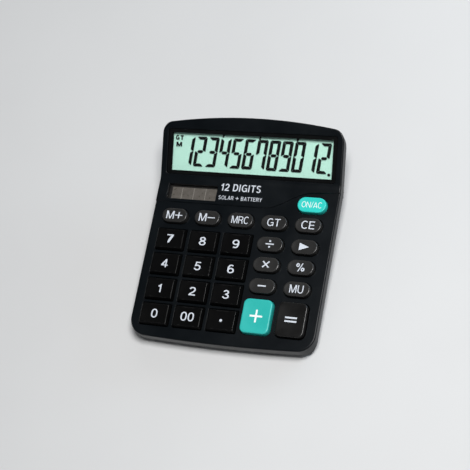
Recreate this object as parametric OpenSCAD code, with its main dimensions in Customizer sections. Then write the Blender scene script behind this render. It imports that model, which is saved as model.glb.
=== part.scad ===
// Desk calculator with a raised display, solar window and battery stand.
// Origin: centre of the footprint, on the surface the feet rest on.
// +X to the user's right, +Y towards the display, +Z up. Millimetres.

/* [Case] */
// Overall width of the case
body_w = 120; // [118:0.5:124]
// Length of the case seen from above
body_l = 140; // [139:0.5:142]
// Height of the keypad deck at its front edge
front_h = 12.5; // [12.5:0.1:13.5]
// Slope of the keypad deck
deck_tilt = 5; // [4.5:0.1:5.5]
// Slope of the display face
display_tilt = 26; // [25:0.25:27]
// Distance from the front edge to the bend below the display
bend_at = 102.3; // [101.5:0.1:103]
// Wall thickness of the upper case
wall = 2.0; // [1.8:0.1:2.2]
// Depth of the upper case's side wall
skirt = 6.5; // [6:0.1:7]
// Corner radius at the front
front_r = 11; // [8:0.5:14]
// Corner radius at the back
rear_r = 7; // [5:0.5:9]
// Rise of the step between the keypad and the display housing
step_h = 0.8; // [0.4:0.1:1.0]

/* [Keys] */
// Distance between key columns
pitch_x = 22; // [21.8:0.1:22.3]
// Distance between the rows of number keys
pitch_y = 16.2; // [16:0.1:16.4]
// Width of a number key at the deck
num_w = 19.2; // [18:0.1:19.4]
// Depth of a number key at the deck
num_d = 14.0; // [13:0.1:14.2]
// Height of a number key above the deck
num_h = 2.3; // [1.8:0.1:2.8]
// Length of a function key
pill_l = 16.9; // [15:0.1:17.2]
// Width of a function key
pill_w = 9.4; // [8.5:0.1:9.8]
// Height of a function key above the deck
pill_h = 2.8; // [2.2:0.1:3.2]
// Width of the two large keys
big_w = 18.6; // [17:0.1:19]
// Depth of the two large keys
big_d = 21.6; // [20:0.1:22]
// Height of the two large keys above the deck
big_h = 3.1; // [2.4:0.1:3.4]
// Gap around each key in its opening
key_gap = 0.35; // [0.3:0.01:0.4]
// Travel of a key
travel = 1.5; // [1.2:0.1:1.5]

/* [Display] */
// Visible width of the display
lcd_w = 106.6; // [104:0.2:107]
// Visible height of the display
lcd_h = 23.8; // [22:0.2:24]
// Width of the recessed lens
lens_w = 112; // [110:0.2:112.6]
// Height of the recessed lens
lens_h = 28.8; // [27:0.2:29]
// Depth of the lens below the display face
lens_recess = 0.8; // [0.4:0.1:1.0]

/* [Battery] */
// Diameter of the battery
cell_d = 14.2; // [13.8:0.1:14.4]
// Length of the battery's can
cell_l = 49.2; // [48.5:0.1:49.4]
// Largest angle the battery door opens to
door_open = 100; // [60:5:110]

/* [Hidden] */
$fn = 48;

y_f = -body_l / 2;                       // front edge of the case
y_r = body_l / 2;                        // back edge of the case
y_b = y_f + bend_at * cos(deck_tilt);    // bend between the deck and the display face
z_b = front_h + bend_at * sin(deck_tilt);
base_z = 1.0;                            // underside of the case, above the feet's faces
floor_t = 1.8;                           // floor thickness of the lower case
edge_gap = 0.6;                          // set-back of the lower case below the upper one
low_wall = 1.6;                          // wall thickness of the lower case
slab = 11.5;                             // depth of the keypad body, square to the deck
taper = 4.0;                             // inward run of the lower case's side
rear_bow = 389;                          // radius of the bowed back edge
front_bow = 1000;                        // radius of the bowed front edge

// Centres of the corner arcs, which touch the bowed edges from inside
rcx = body_w / 2 - rear_r;
rcy = y_r - rear_bow + sqrt(pow(rear_bow - rear_r, 2) - rcx * rcx);
fcx = body_w / 2 - front_r;
fcy = y_f + front_bow - sqrt(pow(front_bow - front_r, 2) - fcx * fcx);

// Heights in the deck frame: 0 is the deck surface
flange_top = -(wall + 0.3);
flange_bot = flange_top - 1.0;
plunger_z = -5.0;                        // underside of the key plungers
dome_top = -5.1;
pcb_top = -7.4;
pcb_t = 1.2;
web_t = 0.8;
num_draft = 1.0;                         // slope of a number key's sides, in plan
flange_w = 0.8;
win_c = 19.1;                            // display centre, from the bend
sol_x = -36.3;                           // centre of the solar window
sol_y = 95.65;
sol_w = 33.2;
sol_h = 9.9;
bat_y = 46;                              // battery axis
bat_z = 10.2;
hinge_y = 38.6;                          // battery door hinge
hinge_z = base_z + 1.3;
door_x = 31;

black = [0.10, 0.105, 0.115];
dark = [0.16, 0.155, 0.15];
gloss = [0.06, 0.06, 0.065];
teal = [0.24, 0.80, 0.73];

// Key table: [column offset, distance from the front edge]
row_m = 79.0; row_on = 92.05; row_7 = 63.6; row_div = 65.1;
row_mul = 52.1; row_sub = 38.5; row_big = 19.45;
function num_row(i) = row_7 - i * pitch_y;

NUMS = [for (r = [0:3]) for (c = [-2:0]) [c * pitch_x, num_row(r)]];
PILLS = [for (c = [-2:2]) [c * pitch_x, row_m],
         for (y = [row_div, row_mul, row_sub]) for (c = [1, 2]) [c * pitch_x, y]];
BIGS = [for (c = [1, 2]) [c * pitch_x, row_big]];
ON = [2 * pitch_x, row_on];
on_l = pill_l + 1.5;
on_w = pill_w + 0.5;
ALL_KEYS = concat(NUMS, PILLS, BIGS, [ON]);

// ---------- frames ----------
module on_deck() translate([0, y_f, front_h]) rotate([deck_tilt, 0, 0]) children();
module on_display() translate([0, y_b, z_b]) rotate([display_tilt, 0, 0]) children();
// Y and Z of a point given in the deck frame or the display frame
function K(v, z) = [y_f + v * cos(deck_tilt) - z * sin(deck_tilt), front_h + v * sin(deck_tilt) + z * cos(deck_tilt)];
function D(t, z) = [y_b + t * cos(display_tilt) - z * sin(display_tilt), z_b + t * sin(display_tilt) + z * cos(display_tilt)];
function deck_z(y) = front_h + (y - y_f) * tan(deck_tilt);
function disp_z(y) = z_b + (y - y_b) * tan(display_tilt);

// ---------- helpers ----------
// Outline in YZ, extruded across the width
module across(w) rotate([90, 0, 90]) translate([0, 0, -w / 2]) linear_extrude(w) children();
// Outline in XZ, extruded along +Y
module along(l) translate([0, l, 0]) rotate([90, 0, 0]) linear_extrude(l) children();

// Points on an arc about c from angle a0 to a1
function arc(c, r, a0, a1, n) = [for (i = [0:n]) let (a = a0 + (a1 - a0) * i / n) [c[0] + r * cos(a), c[1] + r * sin(a)]];
// The same without its end points
function arc_inner(c, r, a0, a1, n) = [for (i = [1:n - 1]) let (a = a0 + (a1 - a0) * i / n) [c[0] + r * cos(a), c[1] + r * sin(a)]];

// Outline of the case from above, set back by d: bowed front and back, round corners
module plan(d = 0) {
  ra = asin(rcx / (rear_bow - rear_r));
  fa = asin(fcx / (front_bow - front_r));
  polygon(concat(
    arc([fcx, fcy], front_r - d, -90 + fa, 0, 9),
    arc([rcx, rcy], rear_r - d, 0, 90 - ra, 7),
    arc_inner([0, y_r - rear_bow], rear_bow - d, 90 - ra, 90 + ra, 16),
    arc([-rcx, rcy], rear_r - d, 90 + ra, 180, 7),
    arc([-fcx, fcy], front_r - d, 180, 270 - fa, 9),
    arc_inner([0, y_f + front_bow], front_bow - d, 270 - fa, 270 + fa, 10)));
}

module rrect(w, h, r) {
  square([w - 2 * r, h], center = true);
  square([w, h - 2 * r], center = true);
  for (x = [-1, 1], y = [-1, 1]) translate([x * (w / 2 - r), y * (h / 2 - r)]) circle(r = r);
}
module stadium(l, w) {
  square([l - w, w], center = true);
  for (s = [-1, 1]) translate([s * (l - w) / 2, 0]) circle(d = w);
}

// Edge of the raised display housing: straight, an S over the ON key, straight
function crease(u) = u < 13 ? 88.5 : (u > 43 ? 100 + (u - 43) * 0.085 : 88.5 + 11.5 * (1 - cos((u - 13) * 6)) / 2);
module housing_zone() polygon(concat(
  [for (u = [-62, 13]) [u, crease(u)]],
  [for (i = [1:14]) let (u = 13 + i * 30 / 14) [u, crease(u)]],
  [[62, crease(62)], [62, 112], [-62, 112]]));

// Tube swept along points, closed at both ends
function unit(v) = v / norm(v);
module tube(p, r, n = 8) {
  m = len(p);
  dir = [for (i = [0:m - 1]) unit(p[min(i + 1, m - 1)] - p[max(i - 1, 0)])];
  ref = [for (i = [0:m - 1]) abs(dir[i][1]) < 0.8 ? [0, 1, 0] : [1, 0, 0]];
  pts = [for (i = [0:m - 1]) let (a = unit(cross(dir[i], [0.36, 0.48, 0.8])), b = cross(dir[i], a))
         for (k = [0:n - 1]) p[i] + r * (cos(360 * k / n) * a + sin(360 * k / n) * b)];
  faces = concat([[for (k = [0:n - 1]) k]], [[for (k = [n - 1:-1:0]) (m - 1) * n + k]],
    [for (i = [0:m - 2]) for (k = [0:n - 1]) let (k2 = (k + 1) % n)
      [i * n + k, (i + 1) * n + k, (i + 1) * n + k2, i * n + k2]]);
  polyhedron(pts, faces);
}
// Smooth run through hand-set points
function cr(a, b, c, d, t) = 0.5 * ((2 * b) + (c - a) * t + (2 * a - 5 * b + 4 * c - d) * t * t + (3 * b - a - 3 * c + d) * t * t * t);
function smooth(p, k = 5) = concat(
  [for (i = [0:len(p) - 2]) for (j = [0:k - 1]) cr(p[max(i - 1, 0)], p[i], p[i + 1], p[min(i + 2, len(p) - 1)], j / k)],
  [p[len(p) - 1]]);

// ---------- case ----------
// Band below the two top faces, from depth a to depth b
module band(a, b, d0 = 0) across(body_w + 4) polygon([
  [y_f - 2, deck_z(y_f - 2) - a], [y_b + a * 0.0, deck_z(y_b) - a], [y_r + 2, disp_z(y_r + 2) - a],
  [y_r + 2, disp_z(y_r + 2) - b], [y_b, deck_z(y_b) - b], [y_f - 2, deck_z(y_f - 2) - b]]);

module key_cut(h0, h1) {
  c = key_gap;
  translate([0, 0, h0]) linear_extrude(h1 - h0) {
    for (k = NUMS) translate(k) rrect(num_w + 2 * c, num_d + 2 * c, 1.0);
    for (k = PILLS) translate(k) stadium(pill_l + 2 * c, pill_w + 2 * c);
    for (k = BIGS) translate(k) rrect(big_w + 2 * c, big_d + 2 * c, 3.9);
    translate(ON) stadium(on_l + 2 * c, on_w + 2 * c);
  }
}
FRONT_SCREWS = [[-30, y_f + 4.8], [30, y_f + 4.8]];
REAR_SCREWS = [[-13.5, K(93.8, -2)[0]], [13.5, K(93.8, -2)[0]]];
PCB_SCREWS = [[-50, 87.3], [2, 87.3], [32, 87.6]];

module upper_case() color(black) {
  difference() {
    union() {
      intersection() {
        linear_extrude(60) plan();
        union() {
          difference() {
            band(0, skirt);
            intersection() {
              band(wall, skirt + 3);
              linear_extrude(60) plan(wall);
            }
          }
          // raised display housing
          intersection() {
            on_deck() translate([0, 0, -0.5]) linear_extrude(step_h + 0.5) housing_zone();
            across(body_w) polygon([K(80, -1), K(80, 2), D(6, 0.0), D(6, -1)]);
          }
        }
      }
      // frame that carries the lens and the display module
      on_display() translate([0, win_c, -2.6]) linear_extrude(1.2) rrect(lens_w + 2, lens_h + 2, 2);
      // frame below the solar window
      on_deck() translate([sol_x, sol_y, -5.2]) linear_extrude(3.6) rrect(sol_w + 5.4, sol_h + 5.0, 1);
      // screw posts
      intersection() {
        union() {
          for (p = FRONT_SCREWS) translate([p[0], p[1], 6.4]) cylinder(h = 5, r = 2.3);
          for (p = REAR_SCREWS) translate([p[0], p[1], 11.2]) cylinder(h = 9.4, r = 2.6);
        }
        band(0.5, 30);
      }
      on_deck() for (p = PCB_SCREWS) translate([p[0], p[1], pcb_top]) cylinder(h = -pcb_top - 1, r = 1.9);
    }
    on_deck() key_cut(-wall - 1, 5);
    // lens pocket and display opening
    on_display() translate([0, win_c, -lens_recess - 1.0]) linear_extrude(6) rrect(lens_w, lens_h, 1.5);
    on_display() translate([0, win_c, -5]) linear_extrude(8) square([lcd_w, lcd_h], center = true);
    // solar opening, window seat from below
    on_deck() translate([sol_x, sol_y, -6]) linear_extrude(10) rrect(sol_w, sol_h, 0.6);
    on_deck() translate([sol_x, sol_y, -6]) linear_extrude(4) rrect(sol_w + 2.6, sol_h + 2.6, 0.6);
    // pilot holes
    for (p = FRONT_SCREWS) translate([p[0], p[1], 3]) cylinder(h = 6.9, r = 0.95);
    for (p = REAR_SCREWS) translate([p[0], p[1], 5]) cylinder(h = 12, r = 0.95);
    on_deck() for (p = PCB_SCREWS) translate([p[0], p[1], pcb_top - 1]) cylinder(h = 5.2, r = 0.8);
  }
}

// Outside of the lower case's shallow tray, set back by d and raised by d
module tray(d) intersection() {
  across(body_w) polygon([
    [y_f - 2, deck_z(y_f - 2) - skirt + 2 * d], [y_b, z_b - skirt + 2 * d], [y_r + 2, disp_z(y_r + 2) - skirt + 2 * d],
    [y_r - edge_gap - d * 0.9, disp_z(y_r) - skirt - 1.4 + d * 0.4],
    D(33.2 - d * 0.7, -slab + d), [y_b + 3.2, z_b - slab + d + 0.55], K(bend_at, -slab + d), K(4.2 + d * 0.7, -slab + d),
    [y_f + edge_gap + d * 0.9, deck_z(y_f) - skirt - 1.4 + d * 0.4], [y_f - 2, deck_z(y_f) - skirt - 1.4 + d * 0.4]]);
  union() {
    on_deck() translate([0, -6, 0]) along(bend_at + 9) tray_section(d);
    on_display() translate([0, -4, 0]) along(54) tray_section(d);
  }
  linear_extrude(60) plan(edge_gap + d);
}
// Side of the tray: a short upright edge, then a slope that runs in under the body
function side_x(z, d) = body_w / 2 - edge_gap - 1.495 * d - (-skirt - 1.4 - z) * taper / (slab - skirt - 1.4);
module tray_section(d) polygon([for (s = [-1, 1]) each let (p = [
  [side_x(-skirt - 0.4 + 0.4455 * d, d), 4], [side_x(-skirt - 0.4 + 0.4455 * d, d), -skirt - 0.4 + 0.4455 * d], [side_x(-slab - 4, d), -slab - 4]])
  [for (i = [0:2]) let (q = p[s < 0 ? i : 2 - i]) [-s * q[0], q[1]]]]);

// Stand under the display that holds the battery, set back by d
module stand(d, top = 0) intersection() {
  across(body_w) polygon([
    [27.5 + d * 1.1, deck_z(27.5) - slab + 1 + top], [34.5 + d * 0.7, base_z + (d > 0 ? floor_t : 0)],
    [60.5 - d * 0.9, base_z + (d > 0 ? floor_t : 0)], D(31.5 - d * 1.1, -slab + 0.8 + top),
    [y_b + 3, z_b - slab + 1.6 + top]]);
  along_stand() polygon([[-43 + d, base_z - 0.01], [43 - d, base_z - 0.01], [46.5 - d, 36], [-46.5 + d, 36]]);
}
module along_stand() translate([0, 20, 0]) along(50) children();

module lower_case() color(black) difference() {
  union() {
    case_shell();
    cradle();
    // locating lip inside the upper case, on a shoulder of the wall, clear of the screw posts and the display module
    difference() {
      intersection() {
        linear_extrude(60) difference() { plan(2.3); plan(3.4); }
        band(skirt - 1.5, skirt + 1.4);
        translate([-70, -80, 0]) cube([140, 122, 60]);
      }
      for (p = FRONT_SCREWS) translate([p[0], p[1], 6.1]) cylinder(h = 8, r = 2.7);
    }
    intersection() {
      linear_extrude(60) difference() { plan(1.4); plan(3.4); }
      band(skirt + 0.4, skirt + 1.4);
    }
  }
  // hinge sockets
  translate([-door_x - 2.2, hinge_y, hinge_z]) rotate([0, 90, 0]) cylinder(h = 2 * door_x + 4.4, r = 0.86);
}
module case_shell() difference() {
  union() { tray(0); stand(0); }
  difference() {
    union() { tray(low_wall); stand(floor_t, 3); }
    // ribs and screw wells stay
    for (p = FRONT_SCREWS) translate([p[0], p[1], 0]) cylinder(h = 6.1, r = 2.8);
    for (p = REAR_SCREWS) translate([p[0], p[1], 0]) cylinder(h = 9.4, r = 3.4);
    on_deck() for (x = [-33, 33], v = [12, 44]) translate([x - 1, v, -slab]) cube([2, 16, slab + pcb_top - pcb_t - 0.15]);
  }
  // everything above the parting line
  across(body_w + 4) polygon([[y_f - 3, deck_z(y_f - 3) - skirt], [y_b, z_b - skirt], [y_r + 3, disp_z(y_r + 3) - skirt], [y_r + 3, 60], [y_f - 3, 60]]);
  // battery door opening
  translate([-door_x - 0.3, hinge_y - 1.6, -1]) cube([2 * door_x + 0.6, 19.4, 1 + base_z + floor_t + 0.01]);
  // case screw holes
  for (p = FRONT_SCREWS) { translate([p[0], p[1], -1]) cylinder(h = 12, r = 1.25); translate([p[0], p[1], -1]) cylinder(h = 5.75, r = 2.15); }
  for (p = REAR_SCREWS) { translate([p[0], p[1], -1]) cylinder(h = 14, r = 1.25); translate([p[0], p[1], -1]) cylinder(h = 8.3, r = 2.5); }
  // foot seats
  for (f = FEET) translate([f[0], f[1], -1]) cylinder(h = 1 + f[2], r = 4.6);
}

// Walls of the battery bay, with ribs that carry the battery and its contacts
module cradle() {
  difference() {
    union() {
      for (y = [hinge_y - 3.0, hinge_y + 17.8]) translate([-33.2, y, base_z]) cube([66.4, 1.4, 12]);
      for (x = [-14, 14]) translate([x - 0.8, hinge_y - 2.4, 4.2]) cube([1.6, 21, 6]);
      for (s = [-1, 1]) {
        translate([s * 28.6 - 0.8, hinge_y - 2.4, 4.2]) cube([1.6, 21, 11]);
        // hinge ears
        translate([s * (door_x + 1.6) - 1.3, hinge_y - 2.4, base_z + floor_t - 0.5]) cube([2.6, 5, 2.8]);
      }
    }
    translate([-27.8, bat_y, bat_z]) rotate([0, 90, 0]) cylinder(h = 55.6, r = cell_d / 2 + 0.25);
    // the battery goes in from below
    translate([-27.8, bat_y - cell_d / 2 - 0.25, 0]) cube([55.6, cell_d + 0.5, bat_z]);
    // solder tag slots
    for (s = [-1, 1]) translate([s * 28.6 - 1, bat_y - 1.7, bat_z + 1.9]) cube([2, 3.4, 1.1]);
  }
}

// Rubber feet: [x, y, depth of seat]
FEET = [[-46, K(12, -slab)[0], K(12, -slab)[1] + 0.9], [46, K(12, -slab)[0], K(12, -slab)[1] + 0.9],
        [-37.2, 54, base_z + 0.9], [37.2, 54, base_z + 0.9]];
module rubber_feet() color([0.07, 0.07, 0.075])
  for (f = FEET) translate([f[0], f[1], 0]) {
    translate([0, 0, 0.5]) cylinder(h = f[2] - 0.55, r = 4.5);
    cylinder(h = 0.5, r1 = 4.0, r2 = 4.5);
  }

module battery_door() color(black) {
  difference() {
    union() {
      translate([-door_x, hinge_y, base_z]) cube([2 * door_x, 17.5, 1.6]);
      translate([-door_x, hinge_y, hinge_z]) rotate([0, 90, 0]) cylinder(h = 2 * door_x, r = 1.3);
      translate([-door_x - 1.7, hinge_y, hinge_z]) rotate([0, 90, 0]) cylinder(h = 2 * door_x + 3.4, r = 0.8);
      // snap tongue
      translate([-5, hinge_y + 16.1, base_z + 1.5]) cube([10, 1.1, 3]);
    }
    // finger grip
    translate([0, hinge_y + 14.2, base_z - 5.2]) rotate([0, 90, 0]) translate([0, 0, -7]) cylinder(h = 14, r = 5.8);
    for (y = [9.6, 11.4]) translate([-9, hinge_y + y, base_z - 0.01]) cube([18, 0.8, 0.41]);
  }
}

// ---------- display ----------
module display_lens() color([0.75, 0.8, 0.8, 0.4])
  on_display() translate([0, win_c, -lens_recess - 0.98]) linear_extrude(0.98) rrect(lens_w - 0.2, lens_h - 0.2, 1.4);
module lcd_front_polariser() color([0.7, 0.78, 0.74, 0.5])
  on_display() translate([-54.4, win_c - 12.7, -2.85]) cube([108.8, 25.2, 0.2]);
module lcd_front_glass() color([0.75, 0.85, 0.8, 0.4])
  on_display() translate([-54.6, win_c - 13.6, -3.6]) cube([109.2, 26.2, 0.7]);
module lcd_rear_glass() color([0.72, 0.82, 0.78, 0.4])
  on_display() translate([-54.6, win_c - 16.2, -4.35]) cube([109.2, 28.8, 0.7]);
module lcd_reflector() color([0.72, 0.90, 0.84])
  on_display() translate([-54.4, win_c - 12.7, -4.7]) cube([108.8, 25.2, 0.3]);
module lcd_holder() color([0.85, 0.85, 0.82])
  on_display() difference() {
    translate([0, win_c, -5.9]) linear_extrude(3.0) polygon([[-56.2, -17], [56.2, -17], [56.2, 10.5], [53.2, 13.5], [-53.2, 13.5], [-56.2, 10.5]]);
    translate([-54.75, win_c - 16.35, -4.75]) cube([109.5, 29.1, 3]);
    translate([-40, win_c - 9, -7]) cube([80, 18, 3]);
    // relief for the flexible connector
    translate([-27, win_c - 18, -4.4]) cube([54, 4, 3]);
  }
module heat_seal_connector() color([0.85, 0.55, 0.25])
  translate([4.7, 0, 0]) across(42.6) polygon([K(96.2, pcb_top + 0.02), K(97.2, pcb_top + 0.02), D(1.6, -4.6), D(2.5, -3.62), D(4.9, -3.62),
                      D(4.9, -3.47), D(2.4, -3.47), D(1.35, -4.6), K(97.1, pcb_top + 0.2), K(96.2, pcb_top + 0.2)]);

// ---------- solar ----------
module solar_window() color([0.7, 0.75, 0.78, 0.4])
  on_deck() translate([sol_x, sol_y, -2.85]) linear_extrude(0.8) rrect(sol_w + 2.2, sol_h + 2.2, 0.5);
module solar_cell() color([0.33, 0.27, 0.25])
  on_deck() translate([sol_x, sol_y, -4.0]) linear_extrude(1.1) square([sol_w + 2.0, sol_h + 2.0], center = true);

// ---------- electronics ----------
module main_pcb() color([0.70, 0.55, 0.30])
  difference() {
    on_deck() translate([0, 0, pcb_top - pcb_t]) linear_extrude(pcb_t) difference() {
      translate([-54, 8]) square([108, 89.5]);
      for (p = PCB_SCREWS) translate([p[0], p[1]]) circle(r = 1.1);
      for (x = [-16, 50]) translate([x, 87.5]) circle(r = 0.6);
    }
    for (p = REAR_SCREWS) translate([p[0], p[1], 0]) cylinder(h = 40, r = 3.2);
  }
module pcb_key_pads() color([0.12, 0.12, 0.12])
  on_deck() for (k = ALL_KEYS) translate([k[0], k[1], pcb_top]) cylinder(h = 0.1, r = 2.3);
module dome_sheet() color([0.62, 0.64, 0.66])
  on_deck() {
    difference() {
      union() {
        translate([0, 0, pcb_top + 0.12]) linear_extrude(web_t) {
          translate([-53.4, 8.4]) square([106.8, 75.6]);
          translate([34.6, 83]) square([18.8, 14.2]);
        }
        for (k = ALL_KEYS) translate([k[0], k[1], pcb_top + 0.12]) {
          cylinder(h = 1.0, r = 4.1);
          translate([0, 0, 0.99]) cylinder(h = dome_top - pcb_top - 1.11, r1 = 4.1, r2 = 2.4);
        }
      }
      for (k = ALL_KEYS) translate([k[0], k[1], pcb_top]) {
        cylinder(h = 1.0, r = 3.5);
        translate([0, 0, 0.99]) cylinder(h = 0.62, r1 = 3.5, r2 = 2.5);
      }
    }
  }
module carbon_contacts() color([0.08, 0.08, 0.08])
  on_deck() for (k = ALL_KEYS) translate([k[0], k[1], pcb_top + travel - 0.25]) cylinder(h = 0.34, r = 1.6);
module chip_blob() color([0.05, 0.05, 0.05])
  on_deck() translate([-6, 74, pcb_top - pcb_t + 4.7]) intersection() {
    sphere(r = 6);
    translate([-10, -10, -10]) cube([20, 20, 5.28]);
  }
module capacitor() color([0.15, 0.2, 0.45])
  on_deck() translate([18.6, 91.2, pcb_top + 2.05]) rotate([0, 90, 0]) { cylinder(h = 7, r = 2.0); translate([0, 0, -0.5]) cylinder(h = 0.51, r = 1.7); }
module resistors() color([0.75, 0.62, 0.42])
  on_deck() for (i = [0:3]) translate([-26 - i * 5, 93.4, pcb_top - pcb_t - 0.42]) cube([2, 1.25, 0.4]);
module regulator_led() color([0.8, 0.15, 0.12])
  on_deck() translate([-8, 85.5, pcb_top - pcb_t - 1.22]) { cylinder(h = 1.2, r = 1.4); translate([-1.7, -0.5, 0.9]) cube([3.4, 1, 0.3]); }
module screw(head_r, head_h, r, l) {
  difference() {
    union() { cylinder(h = head_h, r = head_r); translate([0, 0, head_h - 0.01]) cylinder(h = l - 0.6, r = r); translate([0, 0, head_h + l - 0.62]) cylinder(h = 0.6, r1 = r, r2 = r * 0.4); }
    for (a = [0, 90]) rotate([0, 0, a]) translate([-head_r * 0.6, -0.25, -0.01]) cube([head_r * 1.2, 0.5, head_h * 0.55]);
  }
}
module pcb_screws() color([0.75, 0.75, 0.78])
  on_deck() for (p = PCB_SCREWS) translate([p[0], p[1], pcb_top - pcb_t - 1.02]) screw(1.7, 1.0, 0.75, 4.6);
module case_screws() color([0.25, 0.25, 0.27]) {
  for (p = FRONT_SCREWS) translate([p[0], p[1], 3.45]) screw(2.05, 1.28, 0.9, 4.3);
  for (p = REAR_SCREWS) translate([p[0], p[1], 5.8]) screw(2.3, 1.48, 0.9, 7);
}

// ---------- battery ----------
module battery() color([0.15, 0.35, 0.6])
  translate([-cell_l / 2 - 0.3, bat_y, bat_z]) rotate([0, 90, 0]) {
    cylinder(h = cell_l, d = cell_d);
    translate([0, 0, cell_l - 0.01]) cylinder(h = 1.2, d = 5.4);
    translate([0, 0, -0.2]) cylinder(h = 0.21, d = 9.5);
  }
module battery_contact() color([0.85, 0.85, 0.82]) {
  translate([27.35, bat_y - 5, base_z + floor_t + 1]) cube([0.35, 10, 11]);
  translate([25.9, bat_y, bat_z]) rotate([0, 90, 0]) cylinder(h = 1.5, r = 2.2);
  translate([27.4, bat_y - 1.2, bat_z + 2.2]) cube([3.6, 2.4, 0.5]);
}
module battery_spring() color([0.82, 0.82, 0.8]) {
  translate([-27.7, bat_y - 5, base_z + floor_t + 1]) cube([0.35, 10, 11]);
  translate([-31, bat_y - 1.2, bat_z + 2.2]) cube([3.6, 2.4, 0.5]);
  tube([for (i = [0:46]) let (a = i * 24, f = i / 46, r = 4.2 - 1.4 * f)
        [-27.45 + 2.0 * f, bat_y + r * cos(a), bat_z + r * sin(a)]], 0.3, 8);
}
module battery_wires() {
  color([0.8, 0.1, 0.1]) tube(smooth([[30.6, bat_y, bat_z + 3.4], [32.6, 43.5, 15.2], [31.4, 36.8, 15.1], [29.8, 32, 13.6], [29, 29.6, 12.35], [28.7, 27.4, 11.78], [28.5, 25, 11.55], [28.5, 23, 11.37]]), 0.4);
  color([0.05, 0.05, 0.05]) tube(smooth([[-30.6, bat_y, bat_z + 3.4], [-32.6, 43.5, 15.2], [-30.4, 36.8, 15.1], [-26.5, 32, 13.6], [-24.5, 29.6, 12.35], [-23, 27.4, 11.78], [-22, 25, 11.55], [-21.5, 23, 11.37]]), 0.4);
}
module solar_wires()
  for (s = [0, 1]) color(s == 0 ? [0.8, 0.1, 0.1] : [0.9, 0.9, 0.9])
    tube(smooth([[-30 - s * 6, 27.5, 16.4], [-30 - s * 6, 28.7, 14.9], [-29.6 - s * 6, 30.2, 13.4], [-29 - s * 6, 29.6, 12.2], [-28.6 - s * 6, 27.6, 11.78], [-28.4 - s * 6, 25.4, 11.58]]), 0.3);

// ---------- keys ----------
module on_key(k) on_deck() translate([k[0], k[1], 0]) children();

module num_key(k) color(gloss) on_key(k) {
  difference() {
    union() {
      translate([0, 0, flange_bot]) linear_extrude(0.3 - flange_bot) rrect(num_w, num_d, 0.8);
      intersection() {
        translate([0, -num_d / 2, 0]) along(num_d) polygon([[-num_w / 2, 0.29], [num_w / 2, 0.29], [num_w / 2 - num_draft, num_h], [-num_w / 2 + num_draft, num_h]]);
        across(num_w) polygon([[-num_d / 2, 0.29], [num_d / 2, 0.29], [num_d / 2 - num_draft, num_h], [-num_d / 2 + num_draft, num_h]]);
      }
      translate([0, 0, flange_bot]) linear_extrude(1.0) rrect(num_w + 2 * flange_w, num_d + 2 * flange_w, 1.2);
    }
    // dished top
    translate([0, 0, num_h + 59.6]) rotate([90, 0, 0]) translate([0, 0, -num_d]) cylinder(h = 2 * num_d, r = 60, $fn = 200);
    // hollow underside
    translate([0, 0, flange_bot - 1]) linear_extrude(3.6) rrect(num_w - 2.8, num_d - 2.8, 0.6);
  }
  plunger(num_h - 1.9);
}
module plunger(top) translate([0, 0, plunger_z]) cylinder(h = top - plunger_z, r = 2.2);

// Function key: l long, w wide, h above the deck
module pill_key(k, l, w, h, col) color(col) on_key(k) {
  c = 0.5;
  difference() {
    union() {
      translate([0, 0, flange_bot]) linear_extrude(h - c - flange_bot) stadium(l, w);
      translate([0, 0, h - c - 0.01]) {
        for (s = [-1, 1]) translate([s * (l - w) / 2, 0, 0]) cylinder(h = c + 0.01, r1 = w / 2, r2 = w / 2 - c);
        translate([-(l - w) / 2, 0, 0]) across_x(l - w) polygon([[-w / 2, 0], [w / 2, 0], [w / 2 - c, c + 0.01], [-w / 2 + c, c + 0.01]]);
      }
      translate([0, 0, flange_bot]) linear_extrude(1.0) stadium(l + 2 * flange_w, w + 2 * flange_w);
    }
    translate([0, 0, flange_bot - 1]) linear_extrude(h - flange_bot - 0.4) stadium(l - 2.6, w - 2.6);
  }
  plunger(h - 1.2);
}
module across_x(l) rotate([90, 0, 90]) linear_extrude(l) children();

module big_key(k, col) color(col) on_key(k) {
  c = 0.6; r = 3.6;
  difference() {
    union() {
      translate([0, 0, flange_bot]) linear_extrude(big_h - c - flange_bot) rrect(big_w, big_d, r);
      translate([0, 0, big_h - c - 0.01]) {
        for (x = [-1, 1], y = [-1, 1]) translate([x * (big_w / 2 - r), y * (big_d / 2 - r), 0]) cylinder(h = c + 0.01, r1 = r, r2 = r - c);
        translate([0, -(big_d / 2 - r), 0]) along(big_d - 2 * r) polygon([[-big_w / 2, 0], [big_w / 2, 0], [big_w / 2 - c, c + 0.01], [-big_w / 2 + c, c + 0.01]]);
        across(big_w - 2 * r) polygon([[-big_d / 2, 0], [big_d / 2, 0], [big_d / 2 - c, c + 0.01], [-big_d / 2 + c, c + 0.01]]);
      }
      translate([0, 0, flange_bot]) linear_extrude(1.0) rrect(big_w + 2 * flange_w, big_d + 2 * flange_w, r + 0.5);
    }
    translate([0, 0, flange_bot - 1]) linear_extrude(big_h - flange_bot - 0.4) rrect(big_w - 2.8, big_d - 2.8, 2.4);
  }
  plunger(big_h - 1.3);
}
module std_pill(c, y) pill_key([c * pitch_x, y], pill_l, pill_w, pill_h, dark);

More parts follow.
